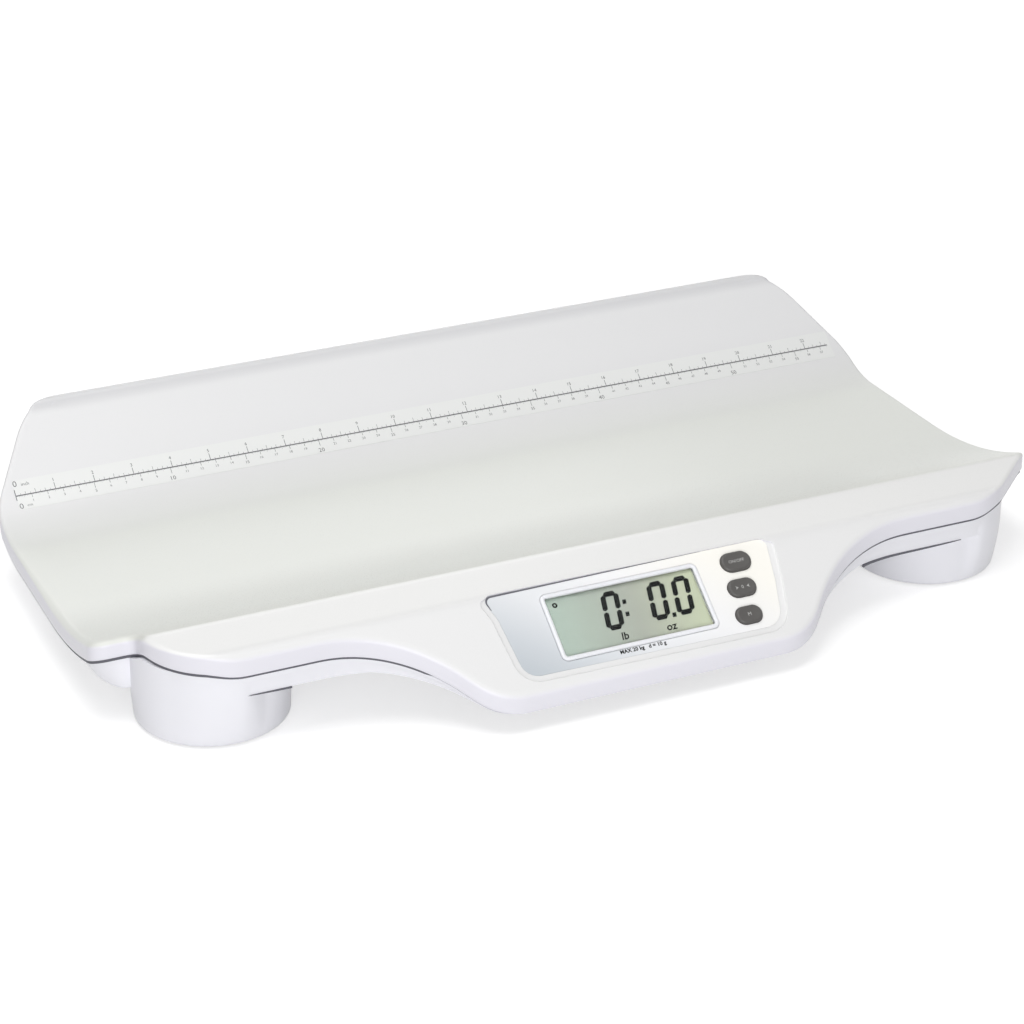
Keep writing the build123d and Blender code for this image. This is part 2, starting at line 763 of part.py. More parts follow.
# ---- feet and load cells ---------------------------------------------------------
# Under each leg a rubber pad and a plastic foot stand on the floor. The foot's
# post meets the tongue of the load cell, which hangs below a bracket in the leg.
for corner, (x, y) in leg_spots.items():
    with BuildPart() as foot_pad:
        with BuildSketch(Plane.XY):
            with Locations((x, y)):
                Circle(pad_radius)
        extrude(amount=pad_thick)
        fillet(foot_pad.edges().group_by(Axis.Z)[0], 0.8)
    write_piece(foot_pad.part, "foot_pad_" + corner)

    with BuildPart() as foot_post:
        with BuildSketch(Plane.XY.offset(pad_thick)):
            with Locations((x, y)):
                Circle(foot_radius)
        extrude(amount=foot_thick)
        with BuildSketch(Plane.XY.offset(pad_thick + foot_thick)):
            with Locations((x, y)):
                Circle(post_radius)
        extrude(amount=cell_z - pad_thick - foot_thick)
    write_piece(foot_post.part, "foot_post_" + corner)

    with BuildPart() as load_cell:
        with BuildSketch(Plane.XY.offset(cell_z)):
            with Locations((x, y)):
                RectangleRounded(cell_size, cell_size, 3.0)
                Rectangle(cell_window, cell_window, mode=Mode.SUBTRACT)
            with Locations((x, y - 2.5)):
                Rectangle(tongue_width, cell_window - 3.0)
        extrude(amount=cell_thick)
    write_piece(load_cell.part, "load_cell_" + corner)

    inward = -1 if x > 0 else 1
    with BuildPart() as cell_bracket:
        with BuildSketch(Plane.XY.offset(cell_top_z)):
            with Locations((x, y)):
                Rectangle(cell_size, cell_size)
        extrude(amount=bracket_ring)
        with BuildSketch(Plane.XY.offset(bracket_z)):
            with Locations((x, y)):
                Circle(bracket_radius)
        extrude(amount=bracket_thick)
        with BuildSketch(Plane.XY.offset(cell_top_z)):
            with Locations((x, y)):
                Rectangle(cell_window, cell_window)
        extrude(amount=bracket_ring + bracket_thick, mode=Mode.SUBTRACT)
        # Small block that grips the end of the cable.
        with BuildSketch(Plane.XY.offset(bracket_z + bracket_thick)):
            with Locations((x + inward * 16.5, y)):
                Rectangle(5.0, 7.0)
        extrude(amount=4.0)
        with BuildSketch(Plane.XY.offset(bracket_z)):
            with Locations((x, y)):
                with PolarLocations(leg_boss_circle, 3, start_angle=30):
                    Circle(screw_radius + 0.4)
        extrude(amount=bracket_thick, mode=Mode.SUBTRACT)
    write_piece(cell_bracket.part, "cell_bracket_" + corner)

with BuildPart() as cell_screws:
    with BuildSketch(Plane.XY.offset(bracket_z + bracket_thick)):
        with Locations(*leg_bosses_at):
            Circle(screw_radius)
    extrude(amount=-10.0)
    with BuildSketch(Plane.XY.offset(bracket_z + bracket_thick)):
        with Locations(*leg_bosses_at):
            Circle(head_radius)
    extrude(amount=head_height)
write_piece(cell_screws.part, "cell_screws")

# ---- housing and board screws ------------------------------------------------------
with BuildPart() as housing_screws:
    for spots, z in ((pan_screws, pan_floor_z), (shelf_screws, shelf_z)):
        with BuildSketch(Plane.XY.offset(z + 0.8)):
            with Locations(*spots):
                Circle(head_radius)
        extrude(amount=-head_height)
        with BuildSketch(Plane.XY.offset(z + 0.8)):
            with Locations(*spots):
                Circle(screw_radius)
        extrude(amount=10.0)
write_piece(housing_screws.part, "housing_screws")

with BuildPart() as board_screws:
    with BuildSketch(board_back):
        with Locations(*console_screws):
            Circle(2.0)
    extrude(amount=-1.2)
    with BuildSketch(board_back):
        with Locations(*console_screws):
            Circle(1.0)
    extrude(amount=board_thick + 4.5)
write_piece(board_screws.part, "board_screws")

# ---- cables ------------------------------------------------------------------------
# Each load cell cable runs over the floor of the pan to its socket on the board.
socket_plane = face.offset(-board_depth - board_thick - plug_height)
grip_x = leg_x - 16.5 - 2.5
climb_x = leg_x - leg_radius + base_wall + 0.4
grip_z = bracket_z + bracket_thick + cable_radius + 0.6
floor_z = pan_top_z + cable_radius + 0.5
shelf_run_z = shelf_z + base_wall + cable_radius + 0.8


def socket_point(x, out):
    """Point in front of a socket on the back of the board."""
    return tuple(socket_plane.from_local_coords((x, plug_s, -out)))


routes = {
    "front": (
        (grip_x, -leg_y, grip_z), (grip_x - 8, -leg_y, grip_z),
        (climb_x, -leg_y + 13, floor_z + 1.0), (164, pan_front_y + 13, floor_z),
        (128, pan_front_y + 21, floor_z), (106, pan_front_y + 17, floor_z + 4),
        (91, pan_front_y + 4, shelf_run_z + 0.6), (74, pan_front_y - 18, shelf_run_z),
        (52, pan_front_y - 36, shelf_run_z + 1.0),
    ),
    "rear": (
        (grip_x, leg_y, grip_z), (grip_x - 8, leg_y, grip_z),
        (climb_x, leg_y - 8, floor_z + 1.0), (160, leg_y - 21, floor_z),
        (122, leg_y - 33, floor_z), (88, pan_front_y + 89, floor_z),
        (72, pan_front_y + 51, floor_z), (69, pan_front_y + 25, floor_z + 4),
        (65, pan_front_y + 6, shelf_run_z + 0.6), (56, pan_front_y - 17, shelf_run_z),
        (34, pan_front_y - 35, shelf_run_z + 2.0),
    ),
}


def cable_tube(points, radius):
    """Round cable along straight runs that are joined by tangent arcs."""
    radii = arc_radii(points, 60.0)
    print("cable radii", [round(r, 1) for r in radii])
    with BuildPart() as tube:
        with BuildLine() as path:
            FilletPolyline(*points, radius=radii)
        with BuildSketch(Plane(origin=path.line @ 0, z_dir=path.line % 0)):
            Circle(radius)
        sweep()
    run = sum(edge.length for edge in path.edges())
    ratio = tube.part.volume / (pi * radius**2 * run)
    print("cable volume over section times length", round(ratio, 4))
    return tube.part


for corner, (x, y) in leg_spots.items():
    side = -1 if x < 0 else 1
    row = "front" if y < 0 else "rear"
    points = [(side * a, b, c) for a, b, c in routes[row]]
    points.append(socket_point(plug_spots[corner], 8.0))
    points.append(socket_point(plug_spots[corner], 0.0))
    write_piece(cable_tube(points, cable_radius), "cell_cable_" + corner)

lead_points = [
    (box_half_x, battery_y, box_top_z - 3.2), (box_half_x + 8, battery_y, box_top_z - 3.2),
    (72, pan_front_y + 8, 44.5), (62, pan_front_y - 13, 47.0),
    (36, pan_front_y - 31, 47.0), (12, pan_front_y - 38, 46.0),
    socket_point(plug_spots["battery"], 8.0),
    socket_point(plug_spots["battery"], 0.0),
]
write_piece(cable_tube(lead_points, cable_radius), "battery_lead")
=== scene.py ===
# %% [markdown]
# # A digital baby weighing scale
# The scale is a white moulded tray on a hollow base with four round legs. The CAD
# frame already holds its 45 pieces at their real size. This script gives them their
# looks: softly rounded mouldings, a printed ruler, a liquid crystal display, and
# buttons with a dished top. The first lines load the frame, and nothing moves it.

# %% Load the frame
import math

import bpy
import numpy as np
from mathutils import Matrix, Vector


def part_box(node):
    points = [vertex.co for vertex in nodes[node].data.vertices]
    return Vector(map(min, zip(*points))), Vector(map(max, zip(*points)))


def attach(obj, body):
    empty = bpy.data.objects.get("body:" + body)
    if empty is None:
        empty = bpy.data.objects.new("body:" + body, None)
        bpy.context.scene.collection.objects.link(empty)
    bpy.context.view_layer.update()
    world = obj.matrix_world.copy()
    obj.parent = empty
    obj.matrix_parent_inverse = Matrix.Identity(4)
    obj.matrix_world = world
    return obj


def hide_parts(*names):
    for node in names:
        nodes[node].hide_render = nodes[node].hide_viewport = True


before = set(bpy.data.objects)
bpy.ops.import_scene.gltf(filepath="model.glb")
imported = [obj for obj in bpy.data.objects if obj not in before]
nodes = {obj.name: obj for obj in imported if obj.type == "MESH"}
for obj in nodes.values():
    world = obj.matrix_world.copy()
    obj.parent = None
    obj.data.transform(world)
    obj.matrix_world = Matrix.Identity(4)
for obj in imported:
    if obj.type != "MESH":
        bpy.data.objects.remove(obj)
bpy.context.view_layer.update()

MM = 0.001                       # sizes below are in millimetres, meshes in metres
tray_low, tray_high = (np.array(corner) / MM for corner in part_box("tray_shell"))
print("pieces in the frame:", len(nodes))
print("tray, lowest and highest corner:", tray_low.round(1), tray_high.round(1))

# %% [markdown]
# ## Camera
# A product picture is taken with a long lens from a little above, so that upright
# edges stay nearly parallel. The place and the two angles are given, and the
# lens follows from how large the tray is in the square picture.

# %% Camera
CAMERA_PLACE = (-0.7000, -1.50005, 0.8504)
VIEW_TURN = math.radians(-24.686)
VIEW_LIFT = math.radians(26.038)
LENS = 104.49

camera_data = bpy.data.cameras.new("camera")
camera_data.lens = LENS
camera_data.sensor_width = 36.0
camera_data.clip_end = 50.0
camera = bpy.data.objects.new("camera", camera_data)
camera.location = CAMERA_PLACE
camera.rotation_euler = (math.pi / 2 - VIEW_LIFT, 0.0, VIEW_TURN)
bpy.context.scene.collection.objects.link(camera)
bpy.context.scene.camera = camera
print("camera at", CAMERA_PLACE)

# %% [markdown]
# ## Nodes
# A material is a tree of nodes. Each input of a node is either a constant or a link
# from another node. Two small functions let each node be written as one call, which
# says what kind it is and what goes into it.

# %% Node tools


def feed(tree, node, inputs):
    """Fills inputs of a node: another node's socket is linked, and a constant is set."""
    for key, value in inputs.items():
        if isinstance(value, bpy.types.NodeSocket):
            tree.links.new(value, node.inputs[key])
        else:
            node.inputs[key].default_value = value


def add_node(tree, kind, inputs=None, **settings):
    """A new shader node: first its settings, such as its operation, then its inputs."""
    made = tree.nodes.new("ShaderNode" + kind)
    for key, value in settings.items():
        setattr(made, key, value)
    feed(tree, made, inputs or {})
    return made


# %% [markdown]
# ## Floor, background and light
# The scale stands on a white table. A white floor that is only painted white turns
# grey under a plain light, so for rays that come from the camera it also gives a
# little light of its own, which lifts it to white and keeps the shadow under the
# legs. The world does the same: it is pure white where it is seen or mirrored, and
# weaker where it lights the object.

# %% Floor and background
FLOOR_HALF = 6.0
FLOOR_Z = -0.0002                # a hair below the feet
FLOOR_COLOUR = (0.72, 0.72, 0.72, 1.0)
FLOOR_GLOW = 0.545
FAR_GLOW = 0.80                  # where the lamps no longer reach
GLOW_NEAR, GLOW_FAR = 0.6, 3.0   # distances between which the one becomes the other
WORLD_LEVEL = 0.33


def floor_material():
    """White table: a diffuse floor with a little light of its own for the camera."""
    material = bpy.data.materials.new("white_table")
    material.use_nodes = True
    tree = material.node_tree
    tree.nodes.clear()
    rays = add_node(tree, "LightPath").outputs
    seen = add_node(tree, "Math", {
        0: rays["Is Camera Ray"], 1: rays["Is Glossy Ray"],
    }, operation="MAXIMUM")
    place = add_node(tree, "TexCoord").outputs["Object"]
    away = add_node(tree, "VectorMath", {0: place}, operation="LENGTH")
    reach = add_node(tree, "MapRange", {
        "Value": away.outputs["Value"], "From Min": GLOW_NEAR, "From Max": GLOW_FAR,
        "To Min": FLOOR_GLOW, "To Max": FAR_GLOW,
    })
    level = add_node(tree, "Math", {
        0: seen.outputs[0], 1: reach.outputs["Result"],
    }, operation="MULTIPLY")
    glow = add_node(tree, "Emission", {"Strength": level.outputs[0]})
    diffuse = add_node(tree, "BsdfDiffuse", {"Color": FLOOR_COLOUR})
    both = add_node(tree, "AddShader", {0: diffuse.outputs[0], 1: glow.outputs[0]})
    add_node(tree, "OutputMaterial", {"Surface": both.outputs[0]})
    return material


floor_mesh = bpy.data.meshes.new("floor")
floor_corners = [(-1, -1), (1, -1), (1, 1), (-1, 1)]
floor_points = [(FLOOR_HALF * x, FLOOR_HALF * y, FLOOR_Z) for x, y in floor_corners]
floor_mesh.from_pydata(floor_points, [], [(0, 1, 2, 3)])
floor_mesh.materials.append(floor_material())
floor = bpy.data.objects.new("floor", floor_mesh)
bpy.context.scene.collection.objects.link(floor)

world = bpy.data.worlds.new("studio")
world.use_nodes = True
bpy.context.scene.world = world
sky = world.node_tree
sky_rays = add_node(sky, "LightPath").outputs
sky_seen = add_node(sky, "Math", {
    0: sky_rays["Is Camera Ray"], 1: sky_rays["Is Glossy Ray"],
}, operation="ADD")
sky_any = add_node(sky, "Math", {
    0: sky_seen.outputs[0], 1: sky_rays["Is Transmission Ray"],
}, operation="ADD", use_clamp=True)
sky_level = add_node(sky, "MapRange", {
    "Value": sky_any.outputs[0], "To Min": WORLD_LEVEL, "To Max": 1.0,
})
feed(sky, sky.nodes["Background"], {
    "Color": (1.0, 1.0, 1.0, 1.0), "Strength": sky_level.outputs["Result"],
})

# %% Soft boxes
# Each soft box is named by what it does. Its power follows from the share of the
# plain level that it adds at the scale: share * pi squared * distance squared.
LAMP_TARGET = np.array((0.0, 0.0, 0.05))
SOFT_BOXES = {
    # name: (turn, lift, distance, size, share, colour)
    "top_soft_box": (-62.0, 78.0, 1.60, 1.0, 0.50, (1.0, 0.998, 0.99)),
    "front_soft_box": (-22.0, 10.0, 2.6, 1.5, 0.59, (0.99, 0.99, 1.0)),
    "back_soft_box": (168.0, 14.0, 2.6, 1.5, 0.15, (0.99, 0.99, 1.0)),
}


def soft_box(name, turn, lift, distance, size, share, colour):
    """Square area lamp that looks at the scale from the given turn and lift."""
    turn, lift = math.radians(turn), math.radians(lift)
    out = np.array((
        math.sin(turn) * math.cos(lift), -math.cos(turn) * math.cos(lift), math.sin(lift),
    ))
    lamp_data = bpy.data.lights.new(name, "AREA")
    lamp_data.size = size
    lamp_data.energy = share * math.pi**2 * distance**2
    lamp_data.color = colour
    lamp = bpy.data.objects.new(name, lamp_data)
    lamp.location = LAMP_TARGET + out * distance
    lamp.rotation_euler = (math.pi / 2 - lift, 0.0, turn)
    bpy.context.scene.collection.objects.link(lamp)


for lamp_name, lamp_values in SOFT_BOXES.items():
    soft_box(lamp_name, *lamp_values)

view = bpy.context.scene.view_settings
view.view_transform = "Standard"
print("soft boxes:", list(SOFT_BOXES))

# %% [markdown]
# ## The section of the tray
# Every point of the tray's top lies on one section line that runs from the front to
# the back: the sloped console face, a nearly level apron, the hollow in which the
# baby lies, a flat, the bend, the slope of the back rest, and the rim. It could be
# drawn as a curve and extruded. A height function of y is better here, because the
# tray, the base below it and the printed ruler all ask it for their places.

# %% Section sizes
FRONT_Y, BACK_Y = tray_low[1], tray_high[1]
END_X = 305.5                    # where the slanted side and front would meet
LIP = 12.0
TRAY_WALL = 3.0
CHIN_Z = tray_low[2]
FACE_ANGLE = math.radians(36.5)
BREAK_Y = FRONT_Y + 51.5
CREST_Y = BREAK_Y + 36.0
CREST_RISE = 1.3
TROUGH_Z = 38.8
SCOOP_RADIUS = 246.0
BEND_RADIUS = 60.0
BACK_ANGLE = math.radians(42.0)
RIM_Y = BACK_Y - 9.0
RIM_PEAK_Y = BACK_Y - 4.5
RIM_Z = 95.3
RIM_RISE = 3.8
RIM_FALL = 3.0

BREAK_Z = CHIN_Z + LIP + (BREAK_Y - FRONT_Y) * math.tan(FACE_ANGLE)
CREST_Z = BREAK_Z + CREST_RISE
SCOOP_Y = CREST_Y + math.sqrt(
    SCOOP_RADIUS**2 - (SCOOP_RADIUS - CREST_Z + TROUGH_Z) ** 2
)
BEND_RISE = BEND_RADIUS * (1 - math.cos(BACK_ANGLE))
SLOPE_Y = RIM_Y - (RIM_Z - RIM_RISE - TROUGH_Z - BEND_RISE) / math.tan(BACK_ANGLE)
BEND_Y = SLOPE_Y - BEND_RADIUS * math.sin(BACK_ANGLE)


def circle_through(a, b, c):
    """Centre and radius of the circle through three points of the section."""
    rows = 2 * np.array((np.subtract(b, a), np.subtract(c, a)))
    sums = np.array((np.dot(b, b) - np.dot(a, a), np.dot(c, c) - np.dot(a, a)))
    centre = np.linalg.solve(rows, sums)
    return centre, float(np.linalg.norm(centre - a))


RIM_CENTRE, RIM_RADIUS = circle_through(
    (RIM_Y, RIM_Z - RIM_RISE), (RIM_PEAK_Y, RIM_Z), (BACK_Y, RIM_Z - RIM_FALL)
)


def sharp_height(y):
    """Height of the section at y, with the sharp break and crest of the drawing.

    Straight pieces are linear in y. An arc of radius r about (c, h) gives
    h - sqrt(r * r - (y - c) ** 2) where it is hollow, and plus where it is proud.
    """
    face = CHIN_Z + LIP + (y - FRONT_Y) * math.tan(FACE_ANGLE)
    apron = BREAK_Z + (y - BREAK_Y) * CREST_RISE / (CREST_Y - BREAK_Y)
    scoop = TROUGH_Z + SCOOP_RADIUS - np.sqrt(
        np.maximum(SCOOP_RADIUS**2 - (y - SCOOP_Y) ** 2, 0)
    )
    bend = TROUGH_Z + BEND_RADIUS - np.sqrt(
        np.maximum(BEND_RADIUS**2 - (y - BEND_Y) ** 2, 0)
    )
    slope = TROUGH_Z + BEND_RISE + (y - SLOPE_Y) * math.tan(BACK_ANGLE)
    rim = RIM_CENTRE[1] + np.sqrt(
        np.maximum(RIM_RADIUS**2 - (y - RIM_CENTRE[0]) ** 2, 0)
    )
    places = (BREAK_Y, CREST_Y, SCOOP_Y, BEND_Y, SLOPE_Y, RIM_Y)
    zone = np.searchsorted(places, y)
    flat = np.full_like(y, TROUGH_Z)
    return np.choose(zone, (face, apron, scoop, flat, bend, slope, rim))


BREAK_EASE = 2.5         # half width over which the break is rounded
CREST_EASE = 4.0        # half width over which the crest is rounded
EASE_STEPS = np.linspace(-1, 1, 15)


def tray_height(y):
    """Height of the moulded section: the drawing, averaged over a small window.

    The window's half width is BREAK_EASE at the break and CREST_EASE at the crest,
    and falls to nothing away from them, so that only these two edges are rounded.
    """
    y = np.asarray(y, float)
    near_break = np.clip(2.4 - np.abs(y - BREAK_Y) / BREAK_EASE, 0, 1)
    near_crest = np.clip(2.0 - np.abs(y - CREST_Y) / CREST_EASE, 0, 1)
    window = np.maximum(BREAK_EASE * near_break, CREST_EASE * near_crest)
    spread = y[..., None] + window[..., None] * EASE_STEPS
    return sharp_height(spread).mean(axis=-1)


print("crest at y", round(CREST_Y, 1), "rim radius", round(RIM_RADIUS, 2))

# %% [markdown]
# ## The plan outline
# Seen from above the tray is a rounded rectangle whose front edge swells into the
# console. An outline of straight runs and tangent arcs describes it with a dozen
# corners. Sampling it evenly gives a closed row of points, and the mouldings are
# swept round that row.

# %% Outline tools


def rounded_outline(corners, radii, spacing):
    """Closed outline of straight runs joined by tangent arcs, as an array of points.

    At a corner of half angle h between its runs, an arc of radius r starts r / tan(h)
    before the corner, and its centre lies r / sin(h) along the bisector.
    """
    corners = np.asarray(corners, float)
    pieces = []
    for here, before, after, radius in zip(
        corners, np.roll(corners, 1, 0), np.roll(corners, -1, 0), radii
    ):
        back = (before - here) / np.linalg.norm(before - here)
        ahead = (after - here) / np.linalg.norm(after - here)
        half = math.acos(np.clip(back @ ahead, -1, 1)) / 2
        bisector = (back + ahead) / np.linalg.norm(back + ahead)
        centre = here + bisector * radius / math.sin(half)
        start = here + back * radius / math.tan(half) - centre
        turn = math.pi - 2 * half
        turn *= np.sign(back[0] * ahead[1] - back[1] * ahead[0]) * -1
        angles = np.linspace(0, turn, 24)[:, None]
        side = np.array((-start[1], start[0]))
        pieces.append(centre + np.cos(angles) * start + np.sin(angles) * side)
    line = np.concatenate(pieces)
    line = np.vstack((line, line[:1]))
    run = np.concatenate(([0], np.cumsum(np.linalg.norm(np.diff(line, axis=0), axis=1))))
    count = int(round(run[-1] / spacing))
    places = np.arange(count) * run[-1] / count
    return np.column_stack([np.interp(places, run, line[:, k]) for k in (0, 1)])


def outward_normals(outline):
    """Unit normals of a closed clockwise outline: its tangent, turned to the left."""
    tangent = np.roll(outline, -1, 0) - np.roll(outline, 1, 0)
    tangent /= np.linalg.norm(tangent, axis=1)[:, None]
    return np.column_stack((-tangent[:, 1], tangent[:, 0]))


WING_Y = FRONT_Y + 47.1
NOTCH_X = -END_X + 25.0
NOTCH_Y = WING_Y + 54.9
CONSOLE_HALF = 99.0
VALLEY_HALF = 147.5
tray_corners = (
    (-END_X + 43.5, BACK_Y), (END_X - 43.5, BACK_Y),
    (END_X - 3.6, BACK_Y - 54.7), (END_X, WING_Y + 45.4), (END_X - 50.5, WING_Y),
    (VALLEY_HALF, WING_Y), (CONSOLE_HALF, FRONT_Y), (-CONSOLE_HALF, FRONT_Y),
    (-VALLEY_HALF, WING_Y), (NOTCH_X, WING_Y), (NOTCH_X, NOTCH_Y), (-END_X, NOTCH_Y),
    (-END_X + 3.6, BACK_Y - 54.7),
)
tray_radii = (50, 54, 30, 15, 45, 105, 40, 40, 105, 48, 6, 10, 30)
tray_outline = rounded_outline(tray_corners, tray_radii, spacing=2.3)
print("points round the tray:", len(tray_outline))

# %% [markdown]
# ## From a grid to a mesh
# Each moulding below is a grid of points: one direction runs round an outline, the
# other across the profile. Neighbouring points make the faces. A shell that starts
# and ends in a single point is closed by a fan of triangles at each end.

# %% Grid tools


def add_piece(name, points, faces, body, material, stands_for=()):
    """Puts points (in millimetres) and faces into a mesh that rides on a body."""
    mesh = bpy.data.meshes.new(name)
    mesh.from_pydata((np.asarray(points) * MM).tolist(), [], faces)
    mesh.shade_smooth()
    mesh.materials.append(material)
    piece = bpy.data.objects.new(name, mesh)
    bpy.context.scene.collection.objects.link(piece)
    if body:
        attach(piece, body)
    if stands_for:
        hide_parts(*stands_for)
    return piece


def closed_rings(rings):
    """Points and faces of a closed shell made of rings, from its first pole to its last.

    rings has the shape (ring, point, 3). Face (i, j) joins the points j and j + 1 of
    the rings i and i + 1. The middles of the first and last ring are the two poles.
    """
    count, around = rings.shape[:2]
    index = np.arange(count * around).reshape(count, around)
    beside = np.roll(index, -1, axis=1)
    quads = np.stack((index[:-1], beside[:-1], beside[1:], index[1:]), axis=-1)
    first, last = count * around, count * around + 1
    pole = np.full(around, first)
    start_fan = np.column_stack((pole, beside[0], index[0]))
    end_fan = np.column_stack((index[-1], beside[-1], pole + 1))
    points = np.vstack((rings.reshape(-1, 3), rings[0].mean(0), rings[-1].mean(0)))
    faces = quads.reshape(-1, 4).tolist() + start_fan.tolist() + end_fan.tolist()
    return points, faces


def carve(piece, cutter, operation="DIFFERENCE"):
    """Cuts one closed shell with another, and keeps the result as the piece's mesh."""
    cut = piece.modifiers.new("cut", "BOOLEAN")
    cut.object = cutter
    cut.operation = operation
    cut.solver = "MANIFOLD"
    depsgraph = bpy.context.evaluated_depsgraph_get()
    result = bpy.data.meshes.new_from_object(piece.evaluated_get(depsgraph))
    piece.modifiers.clear()
    piece.data = result
    bpy.data.objects.remove(cutter)


def carve_with(piece, shell, operation="DIFFERENCE"):
    """Cuts or joins a piece with a closed shell, which is given as points and faces."""
    carve(piece, add_piece("cutter", *shell, None, piece.data.materials[0]), operation)


def crisp_edges(piece, degrees):
    """Shades a piece smooth, apart from edges that turn by more than this angle."""
    piece.data.shade_smooth()
    piece.data.set_sharp_from_angle(angle=math.radians(degrees))


# %% [markdown]
# ## Plastic, and the noise in it
# Injection moulded plastic is never one flat colour. Its gloss changes a little where
# the melt cooled at another speed, and its face carries the fine texture of the mould.
# Several materials here use the same effect, so it is one node group with its own
# inputs. It puts out a colour, a roughness and a height, and each material keeps its
# own Principled shader.

# %% Node group: moulded plastic
CLOUD_SCALE = 9.0
RELIEF = 0.0004                  # height of the mould's grain, in metres


def socket(group, name, kind, way, value=None):
    """Adds a socket to a node group, with its default value."""
    made = group.interface.new_socket(name=name, in_out=way, socket_type=kind)
    if value is not None:
        made.default_value = value
    return made


def moulded_group():
    """Colour, roughness and height of a moulded face, from two sizes of noise."""
    group = bpy.data.node_groups.new("moulded_face", "ShaderNodeTree")
    socket(group, "Place", "NodeSocketVector", "INPUT")
    socket(group, "Colour", "NodeSocketColor", "INPUT", (0.8, 0.8, 0.8, 1.0))
    socket(group, "Shade", "NodeSocketFloat", "INPUT", 0.02)
    socket(group, "Gloss Low", "NodeSocketFloat", "INPUT", 0.30)
    socket(group, "Gloss High", "NodeSocketFloat", "INPUT", 0.36)
    socket(group, "Grain", "NodeSocketFloat", "INPUT", 900.0)
    socket(group, "Colour", "NodeSocketColor", "OUTPUT")
    socket(group, "Roughness", "NodeSocketFloat", "OUTPUT")
    socket(group, "Height", "NodeSocketFloat", "OUTPUT")
    given = group.nodes.new("NodeGroupInput").outputs
    clouds = add_node(group, "TexNoise", {
        "Vector": given["Place"], "Scale": CLOUD_SCALE, "Detail": 2.0,
    })
    grain = add_node(group, "TexNoise", {
        "Vector": given["Place"], "Scale": given["Grain"], "Detail": 2.0,
    })
    centred = add_node(group, "Math", {0: clouds.outputs["Fac"], 1: 0.5}, operation="SUBTRACT")
    amount = add_node(group, "Math", {
        0: centred.outputs[0], 1: given["Shade"], 2: 1.0,
    }, operation="MULTIPLY_ADD")
    shade = add_node(group, "VectorMath", {
        0: given["Colour"], "Scale": amount.outputs[0],
    }, operation="SCALE")
    gloss = add_node(group, "MapRange", {
        "Value": grain.outputs["Fac"], "To Min": given["Gloss Low"],
        "To Max": given["Gloss High"],
    })
    feed(group, group.nodes.new("NodeGroupOutput"), {
        "Colour": shade.outputs[0], "Roughness": gloss.outputs["Result"],
        "Height": grain.outputs["Fac"],
    })
    return group


MOULDED = moulded_group()


def srgb(red, green, blue):
    """Linear colour of a 0 to 255 screen colour, as the shaders want it."""
    value = np.array((red, green, blue)) / 255
    linear = np.where(value <= 0.04045, value / 12.92, ((value + 0.055) / 1.055) ** 2.4)
    return (*[float(part) for part in linear], 1.0)


def bare_material(name):
    """A new material and its tree, shader and Object coordinates."""
    material = bpy.data.materials.new(name)
    material.use_nodes = True
    tree = material.node_tree
    place = add_node(tree, "TexCoord").outputs["Object"]
    return material, tree, tree.nodes["Principled BSDF"], place


def moulded(name, paint, gloss, grain, bump, shade):
    """Plastic, rubber, metal or print. paint is a colour, or makes one from the place."""
    material, tree, shader, place = bare_material(name)
    face = add_node(tree, "Group", {
        "Place": place, "Colour": paint(tree, place) if callable(paint) else paint,
        "Shade": shade, "Gloss Low": gloss[0], "Gloss High": gloss[1], "Grain": grain,
    }, node_tree=MOULDED)
    relief = add_node(tree, "Bump", {
        "Strength": bump, "Distance": RELIEF, "Height": face.outputs["Height"],
    })
    feed(tree, shader, {
        "Base Color": face.outputs["Colour"], "Roughness": face.outputs["Roughness"],
        "Normal": relief.outputs["Normal"],
    })
    return material


def ramp_along(tree, place, way, stops):
    """Colour by the place's dot product with way, in metres: stops are (at, 0 to 255)."""
    dot = add_node(tree, "VectorMath", {0: place, 1: way}, operation="DOT_PRODUCT")
    low, high = stops[0][0], stops[-1][0]
    along = add_node(tree, "MapRange", {
        "Value": dot.outputs["Value"], "From Min": low, "From Max": high,
    })
    ramp = add_node(tree, "ValToRGB", {"Fac": along.outputs["Result"]})
    elements = ramp.color_ramp.elements
    while len(elements) < len(stops):
        elements.new(0.5)
    for element, (at, colour) in zip(elements, stops):
        element.position = (at - low) / (high - low)
        element.color = srgb(*colour)
    return ramp.outputs["Color"]


# %% [markdown]
# ## Finishes
# The tray and base are the same white plastic, the tray a touch glossier. The tray's
# colour carries painted light and shade: a lighter apron, a greener, darker hollow and
# back rest, dark bands behind the crest and on the back rim, and a cooler white on
# upright faces. The plate of the console is printed, from silver at the left to warm
# ivory at the right.

# %% Finishes of the outside
# Upright faces take a painted shade: a cooler and darker white.
UPRIGHT_SHADE_WHITE = (232, 231, 238)
UPRIGHT, LEVEL = 0.25, 0.62      # upward share of the normal: below one, above the other


